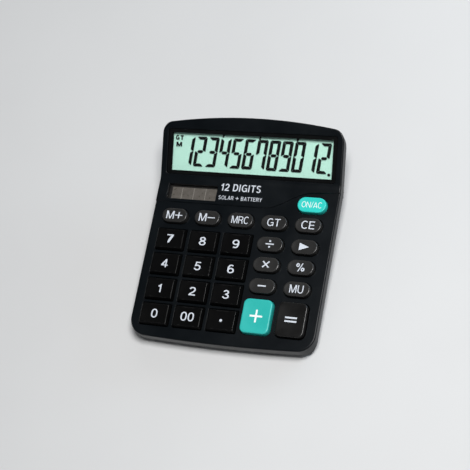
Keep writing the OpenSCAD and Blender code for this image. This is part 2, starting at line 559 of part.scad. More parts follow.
upper_case();
lower_case();
battery_door();
display_lens();
lcd_front_polariser();
lcd_front_glass();
lcd_rear_glass();
lcd_reflector();
lcd_holder();
heat_seal_connector();
solar_window();
solar_cell();
main_pcb();
pcb_key_pads();
dome_sheet();
carbon_contacts();
chip_blob();
capacitor();
resistors();
regulator_led();
pcb_screws();
case_screws();
battery();
battery_contact();
battery_spring();
battery_wires();
solar_wires();
rubber_feet();
std_pill(-2, row_m);  // key_m_plus
std_pill(-1, row_m);  // key_m_minus
std_pill(0, row_m);  // key_mrc
std_pill(1, row_m);  // key_gt
std_pill(2, row_m);  // key_ce
pill_key(ON, on_l, on_w, pill_h, teal);  // key_on_ac
num_key(NUMS[0]);  // key_7
num_key(NUMS[1]);  // key_8
num_key(NUMS[2]);  // key_9
num_key(NUMS[3]);  // key_4
num_key(NUMS[4]);  // key_5
num_key(NUMS[5]);  // key_6
num_key(NUMS[6]);  // key_1
num_key(NUMS[7]);  // key_2
num_key(NUMS[8]);  // key_3
num_key(NUMS[9]);  // key_0
num_key(NUMS[10]);  // key_00
num_key(NUMS[11]);  // key_point
std_pill(1, row_div);  // key_divide
std_pill(2, row_div);  // key_backspace
std_pill(1, row_mul);  // key_multiply
std_pill(2, row_mul);  // key_percent
std_pill(1, row_sub);  // key_minus
std_pill(2, row_sub);  // key_markup
big_key(BIGS[0], teal);  // key_plus
big_key(BIGS[1], gloss);  // key_equals
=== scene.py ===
import math

import bmesh
import bpy
import numpy as np
from mathutils import Matrix, Vector
from mathutils.geometry import delaunay_2d_cdt


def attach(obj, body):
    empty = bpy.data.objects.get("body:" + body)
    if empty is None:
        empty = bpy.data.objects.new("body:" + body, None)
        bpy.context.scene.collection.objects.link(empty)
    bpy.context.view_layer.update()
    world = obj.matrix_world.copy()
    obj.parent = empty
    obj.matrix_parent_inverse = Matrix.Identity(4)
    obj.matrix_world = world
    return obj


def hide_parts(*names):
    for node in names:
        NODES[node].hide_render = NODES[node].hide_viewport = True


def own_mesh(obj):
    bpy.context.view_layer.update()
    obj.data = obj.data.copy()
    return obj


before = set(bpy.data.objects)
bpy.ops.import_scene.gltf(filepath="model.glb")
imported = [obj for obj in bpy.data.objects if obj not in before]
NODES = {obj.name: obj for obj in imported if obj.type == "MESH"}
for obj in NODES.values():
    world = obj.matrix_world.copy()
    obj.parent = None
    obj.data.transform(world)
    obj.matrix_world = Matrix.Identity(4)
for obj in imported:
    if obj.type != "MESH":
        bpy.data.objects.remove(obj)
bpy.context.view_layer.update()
MM = 0.001
scene = bpy.context.scene

# ------------------------------------------------------------------ frames of the case, in mm
DT, DI = math.radians(5), math.radians(26)
YF, YR, FH, BEND = -70.0, 70.0, 12.5, 102.3
YB, ZB = YF + BEND * math.cos(DT), FH + BEND * math.sin(DT)
STEP = 0.8
TB = STEP / math.sin(DI - DT)
S0 = BEND + STEP / math.tan(DI - DT)
T_OFF = S0 - TB                        # display distance t = s - T_OFF
FT = 2.0
FR = FT / math.tan((DI - DT) / 2)
WIN_C = 19.1


def K(u, v, n):
    return (u, YF + v * math.cos(DT) - n * math.sin(DT), FH + v * math.sin(DT) + n * math.cos(DT))


def D(u, t, n):
    return (u, YB + t * math.cos(DI) - n * math.sin(DI), ZB + t * math.sin(DI) + n * math.cos(DI))


def crease(u):
    if u < 13:
        return 88.5
    if u > 43:
        return 100 + (u - 43) * 0.085
    return 88.5 + 11.5 * (1 - math.cos(math.radians((u - 13) * 6))) / 2


def rise(x):
    x = min(1.0, max(0.0, (x + 0.28) / 0.8))
    return STEP * x * x * (3 - 2 * x)


def top(u, s, m=0.0):
    """Point m above the case's upper surface at column u and distance s along it."""
    if s <= S0 - FT:
        return K(u, s, rise(s - crease(u)) + m)
    if s >= S0 + FT:
        return D(u, s - T_OFF, m)
    y0, z0 = K(0, S0 - FT, STEP)[1:]
    a = DT + (DI - DT) * (s - S0 + FT) / (2 * FT)
    y = y0 + FR * (math.sin(a) - math.sin(DT))
    z = z0 + FR * (math.cos(DT) - math.cos(a))
    return (u, y - m * math.sin(a), z + m * math.cos(a))


def s_at(u, y):
    lo, hi = -6.0, 152.0
    for _ in range(44):
        mid = (lo + hi) / 2
        if top(u, mid)[1] < y:
            lo = mid
        else:
            hi = mid
    return (lo + hi) / 2


# ------------------------------------------------------------------ mesh helpers
def make(name, verts, faces, mats=(), idx=None, smooth=35.0, body="root", weighted=True):
    me = bpy.data.meshes.new(name)
    me.from_pydata([(x * MM, y * MM, z * MM) for x, y, z in verts], [], faces)
    for m in mats:
        me.materials.append(m)
    if idx is not None:
        me.polygons.foreach_set("material_index", idx)
    me.validate(clean_customdata=False)
    bm = bmesh.new()
    bm.from_mesh(me)
    bmesh.ops.recalc_face_normals(bm, faces=bm.faces)
    bm.to_mesh(me)
    bm.free()
    me.polygons.foreach_set("use_smooth", [True] * len(me.polygons))
    if smooth is not None:
        me.set_sharp_from_angle(angle=math.radians(smooth))
    me.update()
    o = bpy.data.objects.new(name, me)
    scene.collection.objects.link(o)
    if weighted:
        w = o.modifiers.new("normals", "WEIGHTED_NORMAL")
        w.keep_sharp = True
        w.weight = 100
    if body:
        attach(o, body)
    return o


class Builder:
    """Collects rings and faces in mm."""

    def __init__(self):
        self.v, self.f, self.m = [], [], []

    def add(self, pts):
        i = len(self.v)
        self.v += [tuple(p) for p in pts]
        return list(range(i, len(self.v)))

    def strip(self, a, b, mat=0):
        n = len(a)
        for i in range(n):
            j = (i + 1) % n
            self.f.append((a[i], a[j], b[j], b[i]))
            self.m.append(mat)

    def fan(self, ring, centre, mat=0):
        c = self.add([centre])[0]
        n = len(ring)
        for i in range(n):
            self.f.append((ring[i], ring[(i + 1) % n], c))
            self.m.append(mat)

    def face(self, ids, mat=0):
        self.f.append(tuple(ids))
        self.m.append(mat)


def rrect(cx, cy, w, h, r, n=6, side=1):
    """Rounded rectangle, anticlockwise, with each side cut into side pieces."""
    pts = []
    cs = [(1, -1, -90), (1, 1, 0), (-1, 1, 90), (-1, -1, 180)]
    for k, (sx, sy, a0) in enumerate(cs):
        ax, ay = cx + sx * (w / 2 - r), cy + sy * (h / 2 - r)
        for i in range(n + 1):
            a = math.radians(a0 + 90 * i / n)
            pts.append((ax + r * math.cos(a), ay + r * math.sin(a)))
        nx, ny, a1 = cs[(k + 1) % 4]
        b = (cx + nx * (w / 2 - r) + r * math.cos(math.radians(a1)), cy + ny * (h / 2 - r) + r * math.sin(math.radians(a1)))
        p = pts[-1]
        for i in range(1, side):
            pts.append((p[0] + (b[0] - p[0]) * i / side, p[1] + (b[1] - p[1]) * i / side))
    return pts


def stadium(cx, cy, l, w, n=14, side=6):
    pts = []
    for s, a0 in ((1, -90), (-1, 90)):
        for i in range(n + 1):
            a = math.radians(a0 + 180 * i / n)
            pts.append((cx + s * (l - w) / 2 + w / 2 * math.cos(a), cy + w / 2 * math.sin(a)))
        p = pts[-1]
        q = (cx - s * (l - w) / 2, cy + s * w / 2)
        for i in range(1, side):
            pts.append((p[0] + (q[0] - p[0]) * i / side, p[1] + (q[1] - p[1]) * i / side))
    return pts


def inside(poly, pts):
    """Which of pts lie in the polygon."""
    px, py = np.array(poly, float).T
    x, y = np.array(pts, float).T
    hit = np.zeros(len(x), bool)
    for i in range(len(px)):
        j = i - 1
        cond = (py[i] > y) != (py[j] > y)
        with np.errstate(divide="ignore", invalid="ignore"):
            xx = (px[j] - px[i]) * (y - py[i]) / (py[j] - py[i]) + px[i]
        hit ^= cond & (x < xx)
    return hit


def cdt(points, edges):
    """Triangles over the points, and where each input point went."""
    out = delaunay_2d_cdt([Vector(p) for p in points], edges, [], 0, 1e-5, True)
    where = {}
    for i, src in enumerate(out[3]):
        for s in src:
            where[s] = i
    return [tuple(v) for v in out[0]], [tuple(f) for f in out[2]], where


# ------------------------------------------------------------------ materials
def nt(name):
    m = bpy.data.materials.new(name)
    m.use_nodes = True
    t = m.node_tree
    b = t.nodes["Principled BSDF"]
    return m, t, b


def noise(t, scale, detail=2.0, rough=0.5, coord="Object"):
    c = t.nodes.new("ShaderNodeTexCoord")
    n = t.nodes.new("ShaderNodeTexNoise")
    n.inputs["Scale"].default_value = scale
    n.inputs["Detail"].default_value = detail
    n.inputs["Roughness"].default_value = rough
    t.links.new(c.outputs[coord], n.inputs["Vector"])
    return n


def ramp(t, src, stops):
    r = t.nodes.new("ShaderNodeValToRGB")
    e = r.color_ramp.elements
    while len(e) > 1:
        e.remove(e[-1])
    e[0].position, e[0].color = stops[0][0], (*stops[0][1], 1) if len(stops[0][1]) == 3 else stops[0][1]
    for p, c in stops[1:]:
        x = e.new(p)
        x.color = (*c, 1)
    t.links.new(src, r.inputs["Fac"])
    return r


def span(t, src, lo, hi):
    m = t.nodes.new("ShaderNodeMapRange")
    m.inputs["From Min"].default_value = 0.3
    m.inputs["From Max"].default_value = 0.7
    m.inputs["To Min"].default_value = lo
    m.inputs["To Max"].default_value = hi
    t.links.new(src, m.inputs["Value"])
    return m


def bump(t, b, src, dist, strength=1.0, prev=None):
    n = t.nodes.new("ShaderNodeBump")
    n.inputs["Strength"].default_value = strength
    n.inputs["Distance"].default_value = dist
    t.links.new(src, n.inputs["Height"])
    if prev is not None:
        t.links.new(prev.outputs["Normal"], n.inputs["Normal"])
    t.links.new(n.outputs["Normal"], b.inputs["Normal"])
    return n


def soften(t, b, radius):
    """Edges that look rounded to that radius, in metres."""
    n = t.nodes.new("ShaderNodeBevel")
    n.samples = 4
    n.inputs["Radius"].default_value = radius
    old = b.inputs["Normal"].links
    if old:
        t.links.new(n.outputs["Normal"], old[0].from_node.inputs["Normal"])
    else:
        t.links.new(n.outputs["Normal"], b.inputs["Normal"])


def plastic(name, lo, hi, rough=(0.35, 0.5), grain=9000.0, depth=0.00002, specular=0.5, patch=60.0, coat=0.0):
    """Moulded plastic: mottled tone, spark-eroded grain, roughness that wanders."""
    m, t, b = nt(name)
    b.inputs["Specular IOR Level"].default_value = specular
    if coat:
        b.inputs["Coat Weight"].default_value = coat
        b.inputs["Coat Roughness"].default_value = 0.12
    fine = noise(t, grain, 3.0, 0.65)
    big = noise(t, patch, 3.0, 0.6)
    mix = t.nodes.new("ShaderNodeMath")
    mix.operation = "MULTIPLY_ADD"
    mix.inputs[1].default_value = 0.65
    t.links.new(fine.outputs["Fac"], mix.inputs[0])
    sc = t.nodes.new("ShaderNodeMath")
    sc.operation = "MULTIPLY"
    sc.inputs[1].default_value = 0.35
    t.links.new(big.outputs["Fac"], sc.inputs[0])
    t.links.new(sc.outputs[0], mix.inputs[2])
    r = ramp(t, mix.outputs[0], [(0.36, lo), (0.64, hi)])
    t.links.new(r.outputs["Color"], b.inputs["Base Color"])
    t.links.new(span(t, big.outputs["Fac"], *rough).outputs[0], b.inputs["Roughness"])
    if depth:
        bump(t, b, fine.outputs["Fac"], depth)
    return m


def simple(name, lo, hi, rough, scale=300.0, metallic=0.0, specular=0.5, depth=0.0, alpha=None):
    m, t, b = nt(name)
    b.inputs["Metallic"].default_value = metallic
    b.inputs["Specular IOR Level"].default_value = specular
    n = noise(t, scale, 3.0, 0.6)
    r = ramp(t, n.outputs["Fac"], [(0.3, lo), (0.7, hi)])
    t.links.new(r.outputs["Color"], b.inputs["Base Color"])
    t.links.new(span(t, n.outputs["Fac"], *rough).outputs[0], b.inputs["Roughness"])
    if depth:
        bump(t, b, n.outputs["Fac"], depth)
    if alpha is not None:
        b.inputs["Alpha"].default_value = alpha
        m.surface_render_method = "BLENDED"
    return m


M = {}
M["abs"] = plastic("case_black_abs", (0.0008, 0.0018, 0.0028), (0.0022, 0.0040, 0.0058), rough=(0.29, 0.38), grain=4200.0, depth=0.000006, specular=0.22, patch=45.0)
M["abs_low"] = plastic("lower_case_black_abs", (0.0030, 0.0038, 0.0046), (0.0072, 0.0084, 0.0095), rough=(0.40, 0.52), grain=4200.0, depth=0.00002, specular=0.28)
M["num"] = plastic("number_key_gloss_black", (0.0016, 0.0016, 0.0017), (0.003, 0.003, 0.0031), rough=(0.20, 0.28), grain=7000.0, depth=0.0000006, specular=0.17)
M["pill"] = plastic("function_key_charcoal", (0.015, 0.0148, 0.0145), (0.022, 0.0215, 0.021), rough=(0.24, 0.32), grain=6500.0, depth=0.000003, specular=0.5)
M["equals"] = plastic("equals_key_black", (0.0035, 0.0034, 0.0033), (0.0065, 0.0062, 0.006), rough=(0.24, 0.34), grain=6500.0, depth=0.000003, specular=0.38)
M["teal"] = plastic("turquoise_key", (0.020, 0.40, 0.36), (0.028, 0.46, 0.42), rough=(0.3, 0.4), grain=6500.0, depth=0.000003, specular=0.45)
M["teal_bright"] = plastic("turquoise_on_key", (0.022, 0.53, 0.47), (0.030, 0.60, 0.54), rough=(0.3, 0.4), grain=6500.0, depth=0.000003, specular=0.45)
M["print_teal"] = simple("white_legend_on_turquoise", (0.82, 0.84, 0.84), (0.88, 0.90, 0.90), (0.4, 0.55), 2500.0, specular=0.3)
M["print"] = simple("white_legend_ink", (0.56, 0.60, 0.67), (0.63, 0.67, 0.73), (0.4, 0.55), 2500.0, specular=0.3)
M["mask"] = simple("lens_black_mask", (0.002, 0.0022, 0.0024), (0.004, 0.0042, 0.0045), (0.08, 0.14), 200.0, specular=0.35)
M["clear"] = simple("clear_acrylic", (0.02, 0.022, 0.021), (0.03, 0.033, 0.032), (0.03, 0.06), 120.0, alpha=0.03)
M["lcd_glass"] = simple("lcd_cell_glass", (0.03, 0.05, 0.04), (0.04, 0.06, 0.05), (0.05, 0.09), 90.0, alpha=0.02, specular=0.3)
M["mint"] = simple("lcd_reflector_mint", (0.55, 0.93, 0.78), (0.60, 0.97, 0.83), (0.5, 0.65), 700.0, specular=0.3)
M["segment"] = simple("lcd_segment_dark", (0.002, 0.0024, 0.0028), (0.004, 0.0045, 0.005), (0.6, 0.7), 900.0, specular=0.12)
M["cell"] = simple("solar_cell_film", (0.10, 0.09, 0.078), (0.13, 0.118, 0.105), (0.25, 0.4), 420.0, specular=0.6)
M["cell_line"] = simple("solar_cell_divider", (0.24, 0.22, 0.2), (0.30, 0.28, 0.255), (0.35, 0.5), 900.0)
# dark border of the solar cell; the wide strip of it left along the top edge is painted shadow of the window's top
# wall
M["cell_edge"] = simple("solar_cell_border_and_painted_shade", (0.010, 0.009, 0.009), (0.016, 0.014, 0.013), (0.3, 0.45), 500.0)
M["white"] = plastic("white_abs", (0.62, 0.62, 0.58), (0.70, 0.70, 0.66), rough=(0.4, 0.5), grain=3000.0)
M["rubber"] = plastic("foot_rubber", (0.010, 0.010, 0.010), (0.018, 0.018, 0.018), rough=(0.7, 0.85), grain=3500.0, depth=0.00005, specular=0.3)
M["silicone"] = plastic("dome_silicone", (0.16, 0.17, 0.18), (0.21, 0.22, 0.23), rough=(0.55, 0.7), grain=2500.0, depth=0.00003, specular=0.35)
M["carbon"] = simple("carbon_pill", (0.008, 0.008, 0.008), (0.02, 0.02, 0.02), (0.6, 0.8), 3000.0, depth=0.00002)
M["steel"] = simple("screw_steel", (0.42, 0.42, 0.44), (0.56, 0.56, 0.58), (0.25, 0.4), 2500.0, metallic=1.0, depth=0.000008)
M["nickel"] = simple("nickel_contact", (0.62, 0.60, 0.56), (0.72, 0.70, 0.66), (0.2, 0.32), 1200.0, metallic=1.0)
M["epoxy"] = simple("chip_epoxy", (0.006, 0.006, 0.006), (0.012, 0.012, 0.012), (0.2, 0.35), 600.0, depth=0.00002)
M["film"] = simple("amber_film", (0.42, 0.22, 0.06), (0.55, 0.30, 0.10), (0.25, 0.4), 500.0)


def board_material():
    m, t, b = nt("phenolic_board")
    n = noise(t, 500.0, 5.0, 0.7)
    r = ramp(t, n.outputs["Fac"], [(0.3, (0.30, 0.19, 0.075)), (0.7, (0.42, 0.28, 0.12))])
    c = t.nodes.new("ShaderNodeTexCoord")
    w = t.nodes.new("ShaderNodeTexWave")
    w.wave_type = "BANDS"
    w.bands_direction = "X"
    w.inputs["Scale"].default_value = 130.0
    w.inputs["Distortion"].default_value = 1.2
    t.links.new(c.outputs["Object"], w.inputs["Vector"])
    mask = ramp(t, w.outputs["Fac"], [(0.86, (0, 0, 0)), (0.9, (1, 1, 1))])
    mix = t.nodes.new("ShaderNodeMix")
    mix.data_type = "RGBA"
    mix.inputs["B"].default_value = (0.5, 0.26, 0.12, 1)
    t.links.new(mask.outputs["Color"], mix.inputs["Factor"])
    t.links.new(r.outputs["Color"], mix.inputs["A"])
    t.links.new(mix.outputs["Result"], b.inputs["Base Color"])
    b.inputs["Roughness"].default_value = 0.5
    bump(t, b, n.outputs["Fac"], 0.00002)
    return m


def by_axis(name, axis, stops, rough, metallic=0.0, scale=600.0):
    """Colour bands along one axis of the object, in metres, with fine mottling."""
    m, t, b = nt(name)
    c = t.nodes.new("ShaderNodeTexCoord")
    x = t.nodes.new("ShaderNodeSeparateXYZ")
    t.links.new(c.outputs["Object"], x.inputs[0])
    mr = t.nodes.new("ShaderNodeMapRange")
    mr.inputs["From Min"].default_value = stops[0]
    mr.inputs["From Max"].default_value = stops[1]
    t.links.new(x.outputs[axis], mr.inputs["Value"])
    r = t.nodes.new("ShaderNodeValToRGB")
    r.color_ramp.interpolation = "CONSTANT"
    e = r.color_ramp.elements
    e.remove(e[-1])
    e[0].position, e[0].color = 0.0, (*stops[2][0][1], 1)
    for p, col in stops[2][1:]:
        k = e.new(p)
        k.color = (*col, 1)
    t.links.new(mr.outputs[0], r.inputs["Fac"])
    n = noise(t, scale, 3.0, 0.6)
    g = t.nodes.new("ShaderNodeMix")
    g.data_type = "RGBA"
    g.blend_type = "MULTIPLY"
    g.inputs["Factor"].default_value = 0.35
    t.links.new(r.outputs["Color"], g.inputs["A"])
    t.links.new(n.outputs["Fac"], g.inputs["B"])
    t.links.new(g.outputs["Result"], b.inputs["Base Color"])
    b.inputs["Metallic"].default_value = metallic
    t.links.new(span(t, n.outputs["Fac"], *rough).outputs[0], b.inputs["Roughness"])
    return m


M["screw"] = simple("black_zinc_screw", (0.035, 0.035, 0.038), (0.07, 0.07, 0.075), (0.35, 0.5), 2500.0, metallic=1.0, depth=0.000006)
for key, radius in (("abs_low", 0.0006), ("rubber", 0.0004), ("white", 0.0003), ("steel", 0.0001), ("screw", 0.00015), ("film", 0.0001)):
    soften(M[key].node_tree, M[key].node_tree.nodes["Principled BSDF"], radius)
M["board"] = board_material()
M["battery"] = by_axis("battery_sleeve", "X", (-0.026, 0.026, [(0.0, (0.55, 0.54, 0.52)), (0.035, (0.02, 0.10, 0.06)), (0.70, (0.62, 0.42, 0.12)), (0.965, (0.6, 0.59, 0.57))]), (0.25, 0.4), metallic=0.3)
M["wire_pair"] = by_axis("wire_insulation", "X", (-0.04, 0.04, [(0.0, (0.012, 0.012, 0.012)), (0.5, (0.62, 0.02, 0.015))]), (0.35, 0.5))
M["wire_solar"] = by_axis("solar_wire_insulation", "X", (-0.04, -0.02, [(0.0, (0.75, 0.75, 0.75)), (0.4, (0.62, 0.02, 0.015))]), (0.35, 0.5))
M["cap"] = by_axis("capacitor_sleeve", "X", (0.018, 0.026, [(0.0, (0.05, 0.07, 0.22)), (0.8, (0.55, 0.55, 0.58))]), (0.3, 0.45))
M["resistor"] = by_axis("resistor_body", "Y", (0.020, 0.030, [(0.0, (0.55, 0.40, 0.22)), (0.45, (0.3, 0.05, 0.02)), (0.6, (0.55, 0.40, 0.22))]), (0.4, 0.5))
M["led"] = simple("led_body", (0.55, 0.04, 0.03), (0.7, 0.06, 0.04), (0.15, 0.25), 400.0)


# ------------------------------------------------------------------ outline of the case from above
FRR, RRR, RB, FB = 11.0, 7.0, 389.0, 1000.0
RCX, FCX = 60 - RRR, 60 - FRR
RCY = YR - RB + math.sqrt((RB - RRR) ** 2 - RCX ** 2)
FCY = YF + FB - math.sqrt((FB - FRR) ** 2 - FCX ** 2)
RA = math.degrees(math.asin(RCX / (RB - RRR)))
FA = math.degrees(math.asin(FCX / (FB - FRR)))
STEPS = [-0.28, -0.12, 0.0, 0.12, 0.24, 0.38, 0.52]
BENDS = [S0 - FT, S0 - FT / 2, S0, S0 + FT / 2, S0 + FT]


def arc(cx, cy, r, a0, a1, n, ends=True):
    return [(cx + r * math.cos(math.radians(a0 + (a1 - a0) * i / n)), cy + r * math.sin(math.radians(a0 + (a1 - a0) * i / n)))
            for i in (range(n + 1) if ends else range(1, n))]


def side_ys(u):
    """Rows where a side edge is cut: even steps, the housing's step and the bend."""
    rows = [top(u, crease(u) + o)[1] for o in STEPS] + [top(u, s)[1] for s in BENDS]
    rows = [FCY] + rows + [RCY]
    out = []
    gaps = (22, 1, 1, 1, 1, 1, 1, 6 if u < 0 else 1, 1, 1, 1, 1, 7)
    for k in range(len(rows) - 1):
        g = gaps[k]
        out += [rows[k] + (rows[k + 1] - rows[k]) * i / g for i in range(g)]
    return out[1:]


def outline(d):
    right = [(60 - d, y) for y in side_ys(60 - d)]
    left = [(-60 + d, y) for y in reversed(side_ys(-60 + d))]
    return (arc(FCX, FCY, FRR - d, -90 + FA, 0, 14) + right + arc(RCX, RCY, RRR - d, 0, 90 - RA, 12)
            + arc(0, YR - RB, RB - d, 90 - RA, 90 + RA, 30, False) + arc(-RCX, RCY, RRR - d, 90 + RA, 180, 12)
            + left + arc(-FCX, FCY, FRR - d, 180, 270 - FA, 14) + arc(0, YF + FB, FB - d, 270 - FA, 270 + FA, 26, False))


def rim_z(y):
    z = FH + (y - YF) * math.tan(DT) if y < YB else ZB + (y - YB) * math.tan(DI)
    return z - 6.5


# ------------------------------------------------------------------ keys: where each one is
PX = 22.0
ROW_M, ROW_ON, ROW_7, ROW_DIV, ROW_MUL, ROW_SUB, ROW_BIG = 79.0, 92.05, 63.6, 65.1, 52.1, 38.5, 19.45
NUM_NAMES = ["7", "8", "9", "4", "5", "6", "1", "2", "3", "0", "00", "point"]
KEYS = {}
for i, nm in enumerate(NUM_NAMES):
    KEYS[nm] = ("num", (i % 3 - 2) * PX, ROW_7 - (i // 3) * 16.2)
for i, nm in enumerate(["m_plus", "m_minus", "mrc", "gt", "ce"]):
    KEYS[nm] = ("pill", (i - 2) * PX, ROW_M)
for nm, c, y in (("divide", 1, ROW_DIV), ("backspace", 2, ROW_DIV), ("multiply", 1, ROW_MUL), ("percent", 2, ROW_MUL), ("minus", 1, ROW_SUB), ("markup", 2, ROW_SUB)):
    KEYS[nm] = ("pill", c * PX, y)
KEYS["plus"] = ("big", PX, ROW_BIG)
KEYS["equals"] = ("big", 2 * PX, ROW_BIG)
KEYS["on_ac"] = ("on", 2 * PX, ROW_ON)


def contour(kind, x, y, o, side=8, n=6):
    if kind == "num":
        return rrect(x, y, 19.2 + 2 * o, 14.0 + 2 * o, max(0.12, 0.8 + o * 0.55), n, side)
    if kind == "big":
        return rrect(x, y, 18.6 + 2 * o, 21.6 + 2 * o, max(0.3, 3.6 + o), max(n, 10), side)
    l, w = (16.9, 9.4) if kind == "pill" else (18.4, 9.9)
    return stadium(x, y, l + 2 * o, w + 2 * o)


# ------------------------------------------------------------------ upper case
def upper_case():
    B = Builder()
    R = 0.9
    inner = outline(R)
    ring_in = [(x, s_at(x, y)) for x, y in inner]
    pts, edges, groups = [], [], []

    def loop(p, closed=True):
        i = len(pts)
        pts.extend(p)
        n = len(p)
        edges.extend((i + k, i + (k + 1) % n) for k in range(n if closed else n - 1))
        g = list(range(i, i + n))
        groups.append(g)
        return g

    g_out = loop(ring_in)
    holes = []
    for nm, (kind, x, y) in KEYS.items():
        r = 0.15 if kind == "num" else 0.35
        holes.append((lambda o, kind=kind, x=x, y=y: contour(kind, x, y, 0.35 + o, 4), r, "key"))
    holes.append((lambda o: rrect(-36.3, 95.65, 33.2 + 2 * o, 9.9 + 2 * o, 0.6 + o, 4, 6), 0.3, "solar"))
    holes.append((lambda o: rrect(0, WIN_C + T_OFF, 112 + 2 * o, 28.8 + 2 * o, 1.5 + o, 5, 14), 0.35, "lens"))
    g_holes = [loop(c(r)) for c, r, _ in holes]
    # rows along the step of the housing and along the bend
    us = [-57.9] + [-56 + 4 * k for k in range(17)] + [12.5 + 0.9 * k for k in range(35)] + [45, 48, 51, 54, 57.9]
    us = sorted(set(round(u, 3) for u in us if u <= 12.0 or u >= 12.5))
    for o in STEPS:
        left = min((i for i in range(len(ring_in)) if ring_in[i][0] < 0), key=lambda i: abs(ring_in[i][1] - (88.5 + o)) + abs(ring_in[i][0] + 60 - R))
        right = min((i for i in range(len(ring_in)) if ring_in[i][0] > 0), key=lambda i: abs(ring_in[i][1] - (crease(58) + o)) + abs(ring_in[i][0] - 60 + R))
        g = loop([(u, crease(u) + o) for u in us if abs(u) < 57.5], False)
        edges.append((g_out[left], g[0]))
        edges.append((g[-1], g_out[right]))
    for s in BENDS:
        left = min((i for i in range(len(ring_in)) if ring_in[i][0] < 0), key=lambda i: abs(ring_in[i][1] - s) + abs(ring_in[i][0] + 60 - R))
        right = min((i for i in range(len(ring_in)) if ring_in[i][0] > 0), key=lambda i: abs(ring_in[i][1] - s) + abs(ring_in[i][0] - 60 + R))
        g = loop([(-54 + 6 * k, s) for k in range(19)], False)
        edges.append((g_out[left], g[0]))
        edges.append((g[-1], g_out[right]))
    v2, tris, where = cdt(pts, edges)
    cen = [tuple(np.mean([v2[i] for i in f], axis=0)) for f in tris]
    keep = inside([v2[where[i]] for i in g_out], cen)
    for g in g_holes:
        keep &= ~inside([v2[where[i]] for i in g], cen)
    upper = B.add([top(u, s) for u, s in v2])
    lower = B.add([tuple(np.array(top(u, s)) - (0, 0, 2.0)) for u, s in v2])
    for f, k in zip(tris, keep):
        if k:
            B.face([upper[i] for i in f])
            B.face([lower[i] for i in reversed(f)])
    # rounded outer edge, side wall and inner wall
    prev = [upper[where[i]] for i in g_out]
    for a in range(15, 91, 15):
        a = math.radians(a)
        d, drop = R * (1 - math.sin(a)), R * (1 - math.cos(a))
        ring = B.add([(x, y, top(x, s_at(x, y))[2] - drop) for x, y in outline(d)])
        B.strip(prev, ring)
        prev = ring
    for d, h in ((0.0, 0.35), (0.08, 0.1), (0.3, 0.0), (2.0, 0.0)):
        ring = B.add([(x, y, rim_z(y) + h) for x, y in outline(d)])
        B.strip(prev, ring)
        prev = ring
    ring = B.add([(x, y, top(x, s_at(x, y))[2] - 2.0) for x, y in outline(2.0)])
    B.strip(prev, ring)
    B.strip(ring, [lower[where[i]] for i in g_out])
    # edges and walls of the openings
    for (c, r, kind), g in zip(holes, g_holes):
        prev = [upper[where[i]] for i in g]
        for a in (30, 60, 90):
            a = math.radians(a)
            ring = B.add([top(u, s, -r * (1 - math.cos(a))) for u, s in c(r * (1 - math.sin(a)))])
            B.strip(prev, ring)
            prev = ring
        if kind == "lens":
            opening = rrect(0, WIN_C + T_OFF, 106.6, 23.8, 0.15, 5, 14)
            for contour_pts, m in ((c(0), -1.8), (opening, -1.8), (opening, -2.6), (c(r), -2.6)):
                ring = B.add([top(u, s, m) for u, s in contour_pts])
                B.strip(prev, ring)
                prev = ring
        else:
            ring = B.add([top(u, s, -2.0) for u, s in c(0)])
            B.strip(prev, ring)
            prev = ring
        B.strip(prev, [lower[where[i]] for i in g])
    o = make("upper_case_shell", B.v, B.f, [M["abs"]], smooth=38)
    bm = bmesh.new()
    bm.from_mesh(o.data)
    loose = [v for v in bm.verts if not v.link_faces]
    bmesh.ops.delete(bm, geom=loose, context="VERTS")
    open_edges = sum(1 for e in bm.edges if len(e.link_faces) != 2)
    bm.to_mesh(o.data)
    bm.free()
    print("upper case faces", len(o.data.polygons), "open edges", open_edges)
    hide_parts("upper_case")
    return o


upper_case()


# ------------------------------------------------------------------ legends
def stroke(pts, w, closed=False, cap=0.0):
    """Polygons for a line of width w through pts: one quad per step, so corners overlap."""
    p = []
    for q in pts:
        q = Vector(q)
        if not p or (q - p[-1]).length > 1e-4:
            p.append(q)
    if closed and (p[0] - p[-1]).length < 1e-4:
        p.pop()
    n = len(p)
    out = []
    left, right = [], []
    for i in range(n):
        a = p[i - 1] if (i > 0 or closed) else None
        b = p[(i + 1) % n] if (i < n - 1 or closed) else None
        d1 = (p[i] - a).normalized() if a is not None else None
        d2 = (b - p[i]).normalized() if b is not None else None
        d1 = d1 or d2
        d2 = d2 or d1
        n1, n2 = Vector((-d1.y, d1.x)), Vector((-d2.y, d2.x))
        m = (n1 + n2)
        m = m / max(m.length, 1e-9)
        k = 1 / max(0.45, m.dot(n1))
        left.append(p[i] + m * (w / 2 * k))
        right.append(p[i] - m * (w / 2 * k))
    for i in range(n if closed else n - 1):
        j = (i + 1) % n
        out.append([tuple(right[i]), tuple(right[j]), tuple(left[j]), tuple(left[i])])
    return out


def oval(cx, cy, rx, ry, a0, a1, n, e=2.0):
    pts = []
    for i in range(n + 1):
        a = math.radians(a0 + (a1 - a0) * i / n)
        c, s = math.cos(a), math.sin(a)
        pts.append((cx + rx * math.copysign(abs(c) ** (2 / e), c), cy + ry * math.copysign(abs(s) ** (2 / e), s)))
    return pts


